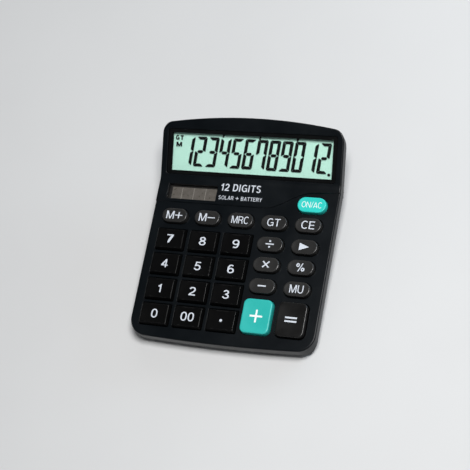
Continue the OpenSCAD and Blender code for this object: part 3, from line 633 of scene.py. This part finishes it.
def glyph(ch, w):
    """Polygons of a character with cap height 1, and its advance width."""
    h = w / 2
    if ch == "0":
        return stroke(oval(0.31, 0.5, 0.30 - h, 0.5 - h + 0.01, 0, 360 - 10, 35, 2.35), w, True), 0.62
    if ch == "1":
        return [[(0.25, 0), (0.25 + w, 0), (0.25 + w, 1.0), (0.25 + w * 0.2, 1.0), (0.25, 0.93)],
                [(0.05, 0.66), (0.25 + w * 0.4, 0.66), (0.25 + w * 0.4, 0.80), (0.05, 0.78)],
                [(0.05, 0.66), (0.3, 0.72), (0.25 + w * 0.2, 1.0), (0.20, 0.86), (0.05, 0.78)]], 0.5
    if ch == "2":
        path = oval(0.30, 0.70, 0.29 - h, 0.30 - h, 172, -28, 16) + [(0.46, 0.50), (0.30, 0.33), (0.15, 0.2), (0.085, 0.09)]
        return stroke(path, w) + [[(0.01, 0), (0.60, 0), (0.60, w * 0.95), (0.01, w * 0.95)]], 0.62
    if ch == "3":
        return (stroke(oval(0.29, 0.745, 0.255 - h, 0.265 - h, 165, -90, 18), w) + stroke(oval(0.29, 0.275, 0.30 - h, 0.285 - h, 90, -168, 20), w)
                + [[(0.22, 0.445), (0.31, 0.445), (0.31, 0.445 + w * 0.95), (0.22, 0.445 + w * 0.95)]]), 0.62
    if ch == "4":
        return [[(0.37, 0), (0.37 + w, 0), (0.37 + w, 1.0), (0.37, 1.0)], [(0.0, 0.21), (0.63, 0.21), (0.63, 0.21 + w * 0.9), (0.0, 0.21 + w * 0.9)],
                [(0.0, 0.21), (w * 1.15, 0.21), (0.37 + w * 0.5, 0.93), (0.37 + w * 0.5, 1.0), (0.37, 1.0), (0.0, 0.36)]], 0.64
    if ch == "5":
        return ([[(0.12, 1 - w * 0.95), (0.56, 1 - w * 0.95), (0.56, 1.0), (0.12, 1.0)], [(0.045, 0.44), (0.045 + w * 0.92, 0.46), (0.12 + w * 0.85, 1.0), (0.12, 1.0)]]
                + stroke(oval(0.29, 0.325, 0.31 - h, 0.335 - h, 138, -163, 24), w)), 0.62
    if ch == "6":
        return (stroke(oval(0.31, 0.315, 0.30 - h, 0.32 - h, 0, 348, 30), w, True)
                + stroke(oval(0.32, 0.5, 0.31 - h, 0.51 - h, 197, 52, 18, 2.2), w)), 0.62
    if ch == "9":
        p, a = glyph("6", w)
        return [[(0.62 - x, 1 - y) for x, y in q] for q in p], a
    if ch == "7":
        return [[(0.02, 1 - w * 0.95), (0.60, 1 - w * 0.95), (0.60, 1.0), (0.02, 1.0)],
                [(0.13, 0), (0.13 + w * 1.08, 0), (0.26 + w * 1.02, 0.32), (0.40 + w * 0.9, 0.62), (0.60, 0.87), (0.60, 0.9), (0.42, 0.9), (0.30, 0.68), (0.19, 0.40)]], 0.62
    if ch == "8":
        return (stroke(oval(0.31, 0.745, 0.265 - h, 0.262 - h, 0, 348, 30), w, True) + stroke(oval(0.31, 0.275, 0.305 - h, 0.285 - h, 0, 348, 30), w, True)), 0.62
    if ch == "M":
        return (stroke([(h, 0), (h, 1)], w) + stroke([(0.84 - h, 0), (0.84 - h, 1)], w)
                + [[(0.42 - w * 0.47, 0), (0.42 + w * 0.47, 0), (w * 1.35, 1), (0.03, 1)], [(0.42 - w * 0.47, 0), (0.42 + w * 0.47, 0), (0.81, 1), (0.84 - w * 1.35, 1)]]), 0.90
    if ch == "N":
        return stroke([(h, 0), (h, 1)], w) + stroke([(0.70 - h, 0), (0.70 - h, 1)], w) + [[(0.70 - w * 1.15, 0), (0.70, 0), (w * 1.15, 1), (0.0, 1)]], 0.76
    if ch in "OQ":
        return stroke(oval(0.39, 0.5, 0.39 - h, 0.515 - h, 0, 350, 36, 2.1), w, True), 0.82
    if ch == "C":
        return stroke(oval(0.38, 0.5, 0.38 - h, 0.515 - h, 46, 314, 30, 2.1), w), 0.76
    if ch == "G":
        return (stroke(oval(0.39, 0.5, 0.39 - h, 0.515 - h, 48, 325, 32, 2.1), w) + [[(0.42, 0.40), (0.76, 0.40), (0.76, 0.53), (0.42, 0.53)],
                [(0.76 - w * 0.75, 0.02), (0.76, 0.02), (0.76, 0.5), (0.76 - w * 0.75, 0.5)]]), 0.82
    if ch == "R":
        return (stroke([(h, 0), (h, 1)], w) + stroke([(h, 1 - h), (0.40, 1 - h)] + oval(0.40, 0.715, 0.25 - h, 0.285 - h, 90, -90, 12) + [(h, 0.43 + h)], w)
                + stroke([(0.36, 0.46), (0.52, 0.36), (0.555, 0.2), (0.60, 0.0)], w)), 0.70
    if ch == "T":
        return [[(0, 1 - w), (0.64, 1 - w), (0.64, 1), (0, 1)], [(0.32 - h, 0), (0.32 + h, 0), (0.32 + h, 1), (0.32 - h, 1)]], 0.66
    if ch == "E":
        return (stroke([(h, 0), (h, 1)], w) + [[(0, 1 - w), (0.58, 1 - w), (0.58, 1), (0, 1)], [(0, 0), (0.60, 0), (0.60, w), (0, w)],
                [(0, 0.51 - h * 0.95), (0.54, 0.51 - h * 0.95), (0.54, 0.51 + h * 0.95), (0, 0.51 + h * 0.95)]]), 0.66
    if ch == "U":
        return stroke([(h, 1.0), (h, 0.36)] + oval(0.34, 0.36, 0.34 - h, 0.375 - h, 180, 360, 18) + [(0.68 - h, 1.0)], w), 0.76
    if ch == "A":
        return [[(0, 0), (w * 1.05, 0), (0.36 + w * 0.52, 1), (0.36 - w * 0.52, 1)], [(0.72 - w * 1.05, 0), (0.72, 0), (0.36 + w * 0.52, 1), (0.36 - w * 0.52, 1)],
                [(0.14, 0.21), (0.58, 0.21), (0.56, 0.21 + w * 0.85), (0.16, 0.21 + w * 0.85)]], 0.74
    if ch == "/":
        return [[(0.0, -0.04), (w * 0.8, -0.04), (0.34, 1.04), (0.34 - w * 0.8, 1.04)]], 0.36
    if ch == "I":
        return stroke([(h, 0), (h, 1)], w), w + 0.09
    if ch == "D":
        return stroke([(h, 1 - h), (0.32, 1 - h)] + oval(0.32, 0.5, 0.37 - h, 0.5 - h, 90, -90, 16, 2.2) + [(h, h)], w) + stroke([(h, 0), (h, 1)], w), 0.76
    if ch == "S":
        return (stroke(oval(0.31, 0.735, 0.29 - h, 0.275 - h, 28, 262, 20), w) + stroke(oval(0.31, 0.265, 0.31 - h, 0.28 - h, 82, -158, 20), w)), 0.66
    if ch == "L":
        return stroke([(h, 0), (h, 1)], w) + [[(0, 0), (0.56, 0), (0.56, w), (0, w)]], 0.60
    if ch == "B":
        return (stroke([(h, 0), (h, 1)], w) + stroke([(h, 1 - h), (0.38, 1 - h)] + oval(0.38, 0.735, 0.23 - h, 0.265 - h, 90, -90, 12) + [(h, 0.47 + h)], w)
                + stroke([(h, 0.53 - h), (0.40, 0.53 - h)] + oval(0.40, 0.27, 0.25 - h, 0.26 + 0.0 - h + 0.01, 90, -90, 12) + [(h, h)], w)), 0.70
    if ch == "Y":
        return [[(0.34 - h, 0), (0.34 + h, 0), (0.34 + h, 0.44), (0.34 - h, 0.44)], [(0.0, 1), (w * 1.1, 1), (0.34 + h, 0.40), (0.34 - h, 0.40)],
                [(0.68 - w * 1.1, 1), (0.68, 1), (0.34 + h, 0.40), (0.34 - h, 0.40)]], 0.68
    if ch == "+":
        return [[(0.0, 0.5 - h), (0.8, 0.5 - h), (0.8, 0.5 + h), (0.0, 0.5 + h)], [(0.4 - h, 0.1), (0.4 + h, 0.1), (0.4 + h, 0.9), (0.4 - h, 0.9)]], 0.86
    if ch == "-":
        return [[(0.0, 0.5 - h), (0.82, 0.5 - h), (0.82, 0.5 + h), (0.0, 0.5 + h)]], 0.86
    if ch == "=":
        return [[(0.0, 0.5 + k * 0.135 - h * 0.8), (1.0, 0.5 + k * 0.135 - h * 0.8), (1.0, 0.5 + k * 0.135 + h * 0.8), (0.0, 0.5 + k * 0.135 + h * 0.8)] for k in (-1, 1)], 1.0
    if ch == "x":
        return stroke([(0.10, 0.12), (0.86, 0.88)], w) + stroke([(0.10, 0.88), (0.86, 0.12)], w), 0.96
    if ch == "d":
        dots = [oval(0.5, 0.5 + k * 0.34, 0.115, 0.115, 0, 345, 23) for k in (-1, 1)]
        return [[(0.0, 0.5 - h), (1.0, 0.5 - h), (1.0, 0.5 + h), (0.0, 0.5 + h)]] + dots, 1.0
    if ch == ".":
        return [oval(0.2, 0.46, 0.17, 0.17, 0, 345, 23)], 0.4
    if ch == ">":
        return [[(0.0, 0.02), (1.0, 0.5), (0.0, 0.98)]], 1.0
    if ch == "%":
        return (stroke(oval(0.20, 0.76, 0.20 - h * 0.85, 0.24 - h * 0.85, 0, 345, 23), w * 0.85, True) + stroke(oval(0.80, 0.24, 0.20 - h * 0.85, 0.24 - h * 0.85, 0, 345, 23), w * 0.85, True)
                + [[(0.22, -0.02), (0.22 + w * 0.75, -0.02), (0.80, 1.02), (0.80 - w * 0.75, 1.02)]]), 1.0
    return [], 0.32


def lettering(text, height, w, gap=0.08, squeeze=1.0):
    """Polygons of a line of characters, centred on the origin, in mm."""
    x, polys = 0.0, []
    for ch in text:
        p, a = glyph(ch, w)
        polys += [[(px + x, py) for px, py in q] for q in p]
        x += a + gap
    lo = min(px for q in polys for px, _ in q)
    hi = max(px for q in polys for px, _ in q)
    c = (lo + hi) / 2
    return [[((px - c) * height * squeeze, (py - 0.5) * height) for px, py in q] for q in polys]


def area(q):
    return sum(q[i - 1][0] * q[i][1] - q[i][0] * q[i - 1][1] for i in range(len(q))) / 2


def flat_union(polys, cell=None):
    """Triangles that cover the polygons once, cut on a grid of that pitch."""
    verts, faces = [], []
    for q in polys:
        if area(q) < 0:
            q = q[::-1]
        i = len(verts)
        verts += [Vector(p) for p in q]
        faces.append(list(range(i, i + len(q))))
    out = delaunay_2d_cdt(verts, [], faces, 0, 1e-4, True)
    bm = bmesh.new()
    vs = [bm.verts.new((v.x, v.y, 0)) for v in out[0]]
    for f, src in zip(out[2], out[5]):
        if src:
            try:
                bm.faces.new([vs[i] for i in f])
            except ValueError:
                pass
    for v in [v for v in bm.verts if not v.link_faces]:
        bm.verts.remove(v)
    if cell:
        xs = [v.co.x for v in bm.verts]
        ys = [v.co.y for v in bm.verts]
        for lo, hi, n in ((min(xs), max(xs), Vector((1, 0, 0))), (min(ys), max(ys), Vector((0, 1, 0)))):
            k = math.ceil(lo / cell)
            while k * cell < hi:
                bmesh.ops.bisect_plane(bm, geom=list(bm.verts) + list(bm.edges) + list(bm.faces), plane_co=n * (k * cell), plane_no=n, dist=1e-5)
                k += 1
        bmesh.ops.triangulate(bm, faces=[f for f in bm.faces if len(f.verts) > 4])
    bm.verts.index_update()
    v = [(w.co.x, w.co.y) for w in bm.verts]
    f = [[w.index for w in g.verts] for g in bm.faces]
    f = [g if area([v[i] for i in g]) > 0 else g[::-1] for g in f]
    rim = []
    for e in bm.edges:
        if len(e.link_faces) == 1:
            a, b = e.verts[0].index, e.verts[1].index
            face = [w.index for w in e.link_faces[0].verts]
            if area([v[i] for i in face]) < 0:
                face = face[::-1]
            k = face.index(a)
            if face[(k + 1) % len(face)] != b:
                a, b = b, a
            rim.append((a, b))
    bm.free()
    return v, f, rim


def print_on(B, polys, place, mat, up=0.02, down=0.08, cell=None):
    """Adds a thin closed slab over the polygons; place(x, y, height) gives its points."""
    v, f, rim = flat_union(polys, cell)
    hi = B.add([place(x, y, up) for x, y in v])
    lo = B.add([place(x, y, -down) for x, y in v])
    for g in f:
        B.face([hi[i] for i in g], mat)
        B.face([lo[i] for i in reversed(g)], mat)
    for a, b in rim:
        B.face([lo[a], lo[b], hi[b], hi[a]], mat)


LEGENDS = {  # text, height, stroke, gap, squeeze
    "7": ("7", 5.4, 0.135, 0, 1.4), "8": ("8", 5.4, 0.135, 0, 1.36), "9": ("9", 5.4, 0.135, 0, 1.4), "4": ("4", 5.3, 0.13, 0, 1.32),
    "5": ("5", 5.4, 0.135, 0, 1.36), "6": ("6", 5.4, 0.135, 0, 1.36), "1": ("1", 5.3, 0.14, 0, 1.15), "2": ("2", 5.4, 0.135, 0, 1.36),
    "3": ("3", 5.4, 0.135, 0, 1.36), "0": ("0", 5.5, 0.13, 0, 1.25), "00": ("00", 5.5, 0.13, 0.08, 1.22),
    "point": (".", 5.0, 0.16), "m_plus": ("M+", 5.1, 0.12, 0.05, 1.2), "m_minus": ("M-", 5.1, 0.12, 0.05, 1.17), "mrc": ("MRC", 4.7, 0.115, 0.05, 1.0),
    "gt": ("GT", 4.85, 0.12, 0.06, 1.13), "ce": ("CE", 5.0, 0.125, 0.06, 1.2), "on_ac": ("ON/AC", 3.7, 0.09, 0.05, 0.97), "markup": ("MU", 4.95, 0.12, 0.07, 1.06),
    "divide": ("d", 5.3, 0.135, 0, 1.0), "multiply": ("x", 5.1, 0.155, 0, 1.06), "minus": ("-", 6.3, 0.135, 0, 1.0), "percent": ("%", 5.0, 0.155, 0, 1.1),
    "backspace": (">", 4.9, 0.1, 0, 1.26), "plus": ("+", 9.9, 0.115, 0, 1.0), "equals": ("=", 8.3, 0.155, 0, 0.9)}


# ------------------------------------------------------------------ key caps
def key_cap(name, kind, x, y):
    B = Builder()
    fillet, height, dish = {"num": (0.35, 2.3, 0.34), "pill": (0.62, 2.8, 0.22), "on": (0.62, 2.8, 0.22), "big": (0.75, 3.1, 0.28)}[kind]
    draft = {"num": 1.0, "pill": 0.18, "on": 0.18, "big": 0.22}[kind]
    hw = {"num": 9.6, "pill": 8.45, "on": 9.2, "big": 9.3}[kind]
    hh = {"num": 7.0, "pill": 4.7, "on": 4.95, "big": 10.8}[kind]
    n0 = 0.3 if kind == "num" else -0.2

    def sunk(px, py):
        if kind == "num":
            q = ((px - x) / (hw - draft - fillet)) ** 2
            return dish * max(0.0, 1 - q)
        ex, ey = (px - x) / (hw - draft - fillet), (py - y) / (hh - draft - fillet)
        if kind == "big":
            q = (abs(ex) ** 3 + abs(ey) ** 3) ** (2 / 3)
        else:
            cx = min(max(px - x, -(hw - hh)), hw - hh)
            q = ((px - x - cx) ** 2 + (py - y) ** 2) / (hh - draft - fillet) ** 2
        return dish * max(0.0, 1 - min(1.0, q))

    def ring(o, n):
        return B.add([K(px, py, n) for px, py in contour(kind, x, y, o)])

    under, floor = {"num": (-1.4, -0.7), "pill": (-1.3, height - 1.7), "on": (-1.3, height - 1.7), "big": (-1.4, height - 1.7)}[kind]
    levels = [(0.8, -3.3), (0.8, -2.3), (0.0, -2.3), (0.0, n0)]
    slope = math.atan2(draft, height - n0)
    # tangent point of the fillet on the sloping side
    t = fillet * math.tan((math.pi / 2 - slope) / 2)
    side_len = math.hypot(draft, height - n0)
    k = (side_len - t) / side_len
    levels.append((-draft * k * 0.5, n0 + (height - n0) * k * 0.5))
    cx, cz = -draft - t, height - fillet
    for i in range(6):
        a = (math.pi / 2 - slope) * i / 5 + slope
        levels.append((cx + fillet * math.cos(a), cz + fillet * math.sin(a)))
    prev = None
    first = None
    for o, n in levels:
        r = ring(o, n)
        if prev:
            B.strip(prev, r)
        else:
            first = r
        prev = r
    # top, in shrinking rings
    edge = contour(kind, x, y, cx)
    for q in (0.94, 0.86, 0.76, 0.64, 0.5, 0.35, 0.18):
        pts = []
        for px, py in edge:
            qx, qy = x + (px - x) * q, y + (py - y) * q
            pts.append(K(qx, qy, height - sunk(qx, qy)))
        r = B.add(pts)
        B.strip(prev, r)
        prev = r
    B.fan(prev, K(x, y, height - sunk(x, y)))
    # hollow underside and plunger
    prev = first
    for o, n in ((under, -3.3), (under, floor)):
        r = ring(o, n)
        B.strip(r, prev)
        prev = r
    cnt = len(prev)
    angles = [math.atan2(py - y, px - x) for px, py in contour(kind, x, y, under)]
    for n in (floor, -4.85, -5.0):
        rad = 2.2 if n > -5.0 else 2.05
        r = B.add([K(x + rad * math.cos(a), y + rad * math.sin(a), n) for a in angles])
        B.strip(r, prev)
        prev = r
    B.fan(prev[::-1], K(x, y, -5.0))
    spec = LEGENDS[name]
    polys = lettering(spec[0], spec[1], spec[2], *(spec[3:] if len(spec) > 3 else ()))
    print_on(B, polys, lambda px, py, up: K(px + x, py + y, height - sunk(px + x, py + y) + up), 1, cell=1.4)
    mat = {"num": "num", "pill": "pill", "on": "teal_bright", "big": "teal" if name == "plus" else "equals"}[kind]
    o = make("keycap_" + name, B.v, B.f, [M[mat], M["print_teal" if "teal" in mat else "print"]], B.m, smooth=30, body="key_" + name)
    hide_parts("key_" + name)
    return o


for nm, (kind, x, y) in KEYS.items():
    key_cap(nm, kind, x, y)


# ------------------------------------------------------------------ display
def display():
    # clear lens with a black printed border under it
    B = Builder()
    outer = rrect(0, WIN_C, 111.8, 28.6, 1.4, 5, 12)
    outer_t = rrect(0, WIN_C, 111.5, 28.3, 1.25, 5, 12)
    win = rrect(0, WIN_C, 106.6, 23.8, 0.35, 5, 12)
    rings = [B.add([D(u, t, n) for u, t in c]) for c, n in ((win, -0.8), (outer_t, -0.8), (outer, -0.95), (outer, -1.78), (win, -1.78))]
    for a, b in zip(rings, rings[1:]):
        B.strip(a, b, 0)
    B.face(rings[0], 1)
    B.face(rings[-1][::-1], 1)
    o = make("display_lens_plate", B.v, B.f, [M["mask"], M["clear"]], B.m)
    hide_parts("display_lens")
    # liquid crystal cell: two glasses with their polariser, the rear one longer for the contacts
    B = Builder()
    prof = [(6.4, -2.65), (31.6, -2.65), (31.7, -2.75), (31.7, -4.35), (2.9, -4.35), (2.9, -3.68), (5.5, -3.62), (5.5, -2.85), (6.4, -2.8)]
    a = B.add([D(-54.6, t, n) for t, n in prof])
    b = B.add([D(54.6, t, n) for t, n in prof])
    B.strip(a, b)
    B.face(a)
    B.face(b[::-1])
    o = make("lcd_cell", B.v, B.f, [M["lcd_glass"]])
    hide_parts("lcd_front_polariser", "lcd_front_glass", "lcd_rear_glass")
    # reflector
    B = Builder()
    prev = None
    for c, n in ((rrect(0, WIN_C - 0.1, 108.8, 25.2, 0.4, 3, 6), -4.7), (rrect(0, WIN_C - 0.1, 108.8, 25.2, 0.4, 3, 6), -4.42), (rrect(0, WIN_C - 0.1, 108.6, 25.0, 0.4, 3, 6), -4.4)):
        r = B.add([D(u, t, n) for u, t in c])
        if prev:
            B.strip(prev, r)
        else:
            B.face(r[::-1])
        prev = r
    B.face(prev)
    o = make("lcd_reflector_sheet", B.v, B.f, [M["mint"]])
    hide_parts("lcd_reflector")
    # segments
    polys = []
    W, H, sv, sh, g = 7.0, 18.7, 2.1, 1.75, 0.17
    hw, hh = W / 2, H / 2
    seg = {
        "a": [(-hw + g + 0.55, hh), (hw - g - 0.55, hh), (hw - g - 0.25, hh - 0.35), (hw - sv * 0.92 - g, hh - sh), (-hw + sv * 0.92 + g, hh - sh), (-hw + g + 0.25, hh - 0.35)],
        "b": [(hw, hh - 0.62 - g), (hw, g), (hw - 0.55, g * 0.6), (hw - sv, sh * 0.55 + g), (hw - sv, hh - sh - g * 1.4), (hw - 0.35, hh - 0.35 - g)],
        "g": [(-hw + sv * 0.62 + g, 0), (-hw + sv + g * 1.2, sh / 2), (hw - sv - g * 1.2, sh / 2), (hw - sv * 0.62 - g, 0), (hw - sv - g * 1.2, -sh / 2), (-hw + sv + g * 1.2, -sh / 2)],
    }
    seg["c"] = [(x, -y) for x, y in seg["b"]]
    seg["d"] = [(x, -y) for x, y in seg["a"]]
    seg["f"] = [(-x, y) for x, y in seg["b"]]
    seg["e"] = [(-x, -y) for x, y in seg["b"]]
    on = {"1": "bc", "2": "abged", "3": "abgcd", "4": "fgbc", "5": "afgcd", "6": "afgedc", "7": "fabc", "8": "abcdefg", "9": "abcdfg", "0": "abcdef"}
    t0, slant = 19.7, math.tan(math.radians(7.2))
    cen = [-43.3 + 8.2 * i for i in range(12)]
    for c, ch in zip(cen, "123456789012"):
        for s in on[ch]:
            polys.append([(c + x + y * slant, t0 + y) for x, y in seg[s]])
    for i in (3, 6, 9):
        x = cen[i] - hw + sv / 2
        polys.append([(x + y * slant + dx, t0 + y) for dx, y in ((-0.55, hh + 0.15), (0.35, hh + 0.15), (0.75, hh + 1.9), (-0.65, hh + 1.9))])
    polys.append(oval(cen[11] + hw + 1.35 - hh * slant, t0 - hh - 0.45, 0.95, 0.85, 0, 345, 23))
    small = [[(x - 49.7, y + 27.9) for x, y in q] for q in lettering("GT", 2.95, 0.25, 0.16, 1.12)]
    small += [[(x - 49.8, y + 23.6) for x, y in q] for q in lettering("M", 2.9, 0.19, 0.0, 1.62)]
    B = Builder()
    for q in polys:
        print_on(B, [q], lambda x, t, up: D(x, t, -3.62 + up), 0, up=0.015, down=0.015)
    print_on(B, small, lambda x, t, up: D(x, t, -3.62 + up), 0, up=0.015, down=0.015)
    o = make("lcd_segments", B.v, B.f, [M["segment"]], B.m, weighted=False)


display()


# ------------------------------------------------------------------ solar cell and its window
def solar():
    B = Builder()
    cx, cy = -36.3, 95.65
    prev = None
    for o_, n in ((0.0, -2.85), (0.0, -2.15), (-0.1, -2.05)):
        r = B.add([K(u, v, n) for u, v in rrect(cx, cy, 35.4 + 2 * o_, 12.1 + 2 * o_, 0.5, 3, 4)])
        if prev:
            B.strip(prev, r)
        else:
            B.face(r[::-1])
        prev = r
    B.face(prev)
    o = make("solar_window_plate", B.v, B.f, [M["clear"]])
    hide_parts("solar_window")
    B = Builder()
    prev = None
    for o_, n in ((0.0, -4.0), (0.0, -3.0), (-0.08, -2.93)):
        r = B.add([K(u, v, n) for u, v in rrect(cx, cy, 35.2 + 2 * o_, 11.9 + 2 * o_, 0.3, 3, 4)])
        if prev:
            B.strip(prev, r, 0)
        else:
            B.face(r[::-1], 0)
        prev = r
    B.face(prev, 0)
    xs = [-51.6, -44.6, -36.6, -28.6, -20.6]
    # the pads sit 0.75 mm low in the plate, so its dark border is wider at the top: part real border, part painted
    # shadow of the window's top wall
    for a, b in zip(xs, xs[1:]):
        print_on(B, [rrect((a + b) / 2, cy - 0.75, b - a - 0.5, 9.4, 0.15, 3)], lambda u, v, up: K(u, v, -2.93 + up), 1, up=0.025, down=0.02)
    for a in xs[1:-1]:
        print_on(B, [rrect(a, cy - 0.75, 0.42, 9.4, 0.1, 3)], lambda u, v, up: K(u, v, -2.93 + up), 2, up=0.03, down=0.02)
    o = make("solar_cell_panel", B.v, B.f, [M["cell_edge"], M["cell"], M["cell_line"]], B.m)
    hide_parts("solar_cell")


solar()


# ------------------------------------------------------------------ plain print on the housing
def housing_print():
    B = Builder()
    line1 = [[(x - 4.2, y + 100.3) for x, y in q] for q in lettering("12 DIGITS", 4.7, 0.15, 0.10, 1.02)]
    line2 = [[(x - 3.4, y + 93.4) for x, y in q] for q in lettering("SOLAR + BATTERY", 2.5, 0.13, 0.12, 1.0)]
    print_on(B, line1 + line2, lambda u, v, up: top(u, v, up), 0, up=0.02, down=0.06)
    make("housing_print", B.v, B.f, [M["print"]], B.m, weighted=False)


housing_print()


# ------------------------------------------------------------------ rubber domes under the keys
def domes():
    B = Builder()
    holes = []
    pts, edges = [], []

    def loop(p):
        i = len(pts)
        pts.extend(p)
        edges.extend((i + k, i + (k + 1) % len(p)) for k in range(len(p)))
        return list(range(i, i + len(p)))

    outer = [(-53.4, 8.4), (53.4, 8.4), (53.4, 97.2), (34.6, 97.2), (34.6, 84.0), (-53.4, 84.0)]
    dense = []
    for i in range(len(outer)):
        a, b = outer[i], outer[(i + 1) % len(outer)]
        dense += [(a[0] + (b[0] - a[0]) * k / 8, a[1] + (b[1] - a[1]) * k / 8) for k in range(8)]
    g_out = loop(dense)
    for nm, (kind, x, y) in KEYS.items():
        holes.append(loop(oval(x, y, 4.15, 4.15, 0, 350, 35)))
    v2, tris, where = cdt(pts, edges)
    c = [tuple(np.mean([v2[i] for i in f], axis=0)) for f in tris]
    keep = inside([v2[where[i]] for i in g_out], c)
    for g in holes:
        keep &= ~inside([v2[where[i]] for i in g], c)
    hi = B.add([K(u, v, -6.5) for u, v in v2])
    lo = B.add([K(u, v, -7.26) for u, v in v2])
    for f, k in zip(tris, keep):
        if k:
            B.face([hi[i] for i in f])
            B.face([lo[i] for i in reversed(f)])
    for g in [g_out] + holes:
        B.strip([hi[where[i]] for i in g], [lo[where[i]] for i in g])
    o = make("dome_web", B.v, B.f, [M["silicone"]], smooth=30)
    bm = bmesh.new()
    bm.from_mesh(o.data)
    bmesh.ops.delete(bm, geom=[v for v in bm.verts if not v.link_faces], context="VERTS")
    bm.to_mesh(o.data)
    bm.free()
    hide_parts("dome_sheet")
    for nm, (kind, x, y) in KEYS.items():
        B = Builder()
        prof = [(3.5, -7.28), (4.1, -7.28), (4.1, -6.4), (3.95, -6.2), (2.6, -5.22), (2.3, -5.1), (1.2, -5.1)]
        under = [(3.5, -6.55), (2.45, -5.75), (1.6, -5.72)]
        prev = first = None
        for r, n in prof:
            ring = B.add([K(px, py, n) for px, py in oval(x, y, r, r, 0, 350, 35)])
            if prev:
                B.strip(prev, ring)
            else:
                first = ring
            prev = ring
        B.fan(prev, K(x, y, -5.1))
        prev = first
        for r, n in under:
            ring = B.add([K(px, py, n) for px, py in oval(x, y, r, r, 0, 350, 35)])
            B.strip(ring, prev)
            prev = ring
        ring = B.add([K(px, py, -6.12) for px, py in oval(x, y, 1.55, 1.55, 0, 350, 35)])
        B.strip(ring, prev, 1)
        B.fan(ring[::-1], K(x, y, -6.15), 1)
        o = make("dome_" + nm, B.v, B.f, [M["silicone"], M["carbon"]], B.m, smooth=40)
        if nm == "7":
            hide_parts("carbon_contacts")
        w = o.modifiers.get("normals")
        if w:
            o.modifiers.remove(w)
        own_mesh(o)


domes()


# ------------------------------------------------------------------ CAD pieces that stay
def dress(node, mat, bevel=None, angle=40):
    o = NODES[node]
    o.data.materials.clear()
    o.data.materials.append(mat)
    o.data.polygons.foreach_set("material_index", [0] * len(o.data.polygons))
    if bevel:
        b = o.modifiers.new("edge", "BEVEL")
        b.width = bevel * MM
        b.segments = 2
        b.limit_method = "ANGLE"
        b.angle_limit = math.radians(angle)
        b.use_clamp_overlap = True
        b.miter_outer = "MITER_ARC"


dress("lower_case", M["abs_low"])
dress("battery_door", M["abs_low"])
dress("lcd_holder", M["white"])
dress("heat_seal_connector", M["film"])
dress("main_pcb", M["board"])
dress("pcb_key_pads", M["carbon"])
dress("chip_blob", M["epoxy"])
dress("capacitor", M["cap"])
dress("resistors", M["resistor"])
dress("regulator_led", M["led"])
dress("pcb_screws", M["steel"])
dress("case_screws", M["screw"])
dress("battery", M["battery"])
dress("battery_contact", M["nickel"])
dress("battery_spring", M["nickel"])
dress("battery_wires", M["wire_pair"])
dress("solar_wires", M["wire_solar"])
dress("rubber_feet", M["rubber"])


# ------------------------------------------------------------------ floor, light, camera
def stage():
    m, t, b = nt("pale_floor")
    n = noise(t, 3.0, 4.0, 0.6)
    r = ramp(t, n.outputs["Fac"], [(0.3, (0.60, 0.605, 0.61)), (0.7, (0.64, 0.645, 0.65))])
    t.links.new(r.outputs["Color"], b.inputs["Base Color"])
    b.inputs["Roughness"].default_value = 0.75
    me = bpy.data.meshes.new("floor")
    s = 2.5
    me.from_pydata([(-s, -s, 0), (s, -s, 0), (s, s, 0), (-s, s, 0)], [], [(0, 1, 2, 3)])
    me.materials.append(m)
    o = bpy.data.objects.new("floor", me)
    scene.collection.objects.link(o)

    def softbox(name, loc, aim, size, power, color=(1, 1, 1)):
        l = bpy.data.lights.new(name, "AREA")
        l.shape = "RECTANGLE"
        l.size, l.size_y = size
        l.energy = power
        l.color = color
        q = bpy.data.objects.new(name, l)
        q.location = loc
        q.rotation_mode = "QUATERNION"
        q.rotation_quaternion = (Vector(aim) - Vector(loc)).to_track_quat("-Z", "Y")
        scene.collection.objects.link(q)
        return q

    softbox("key_light", (0.37, -0.01, 1.10), (0, 0, 0.02), (0.42, 0.42), 14.5, (1.0, 0.995, 0.985))
    softbox("rim_light", (0.80, 0.78, 0.30), (0, 0, 0.02), (0.7, 0.22), 4.0, (0.66, 0.84, 1.0))
    softbox("back_light", (-0.05, 1.15, 0.66), (0, 0, 0.02), (1.2, 0.5), 2.2)
    softbox("front_fill", (-0.2, -1.4, 0.5), (0, 0, 0.02), (0.8, 0.4), 1.2)
    w = bpy.data.worlds.new("studio")
    scene.world = w
    w.use_nodes = True
    w.node_tree.nodes["Background"].inputs["Color"].default_value = (0.93, 0.96, 1.0, 1)
    w.node_tree.nodes["Background"].inputs["Strength"].default_value = 0.09
    scene.view_settings.view_transform = "Standard"
    scene.view_settings.exposure = 0.0

    right = Vector((0.9298198578457434, 0.21210878387148682, -0.3007405788387739))
    down = Vector((0.07474563807174714, -0.9090096717963053, -0.41001769006961286))
    fwd = Vector((-0.36034444847252645, 0.35876354383539666, -0.8610694502011428))
    cam = bpy.data.cameras.new("camera")
    cam.sensor_width = 36.0
    cam.lens = 1385.4223 / 470 * 36.0
    cam.clip_start, cam.clip_end = 0.01, 20
    o = bpy.data.objects.new("camera", cam)
    scene.collection.objects.link(o)
    up, back = -down, -fwd
    o.matrix_world = Matrix(((right.x, up.x, back.x, 0.304384382), (right.y, up.y, back.y, -0.305844197), (right.z, up.z, back.z, 0.751666289), (0, 0, 0, 1)))
    scene.camera = o


stage()
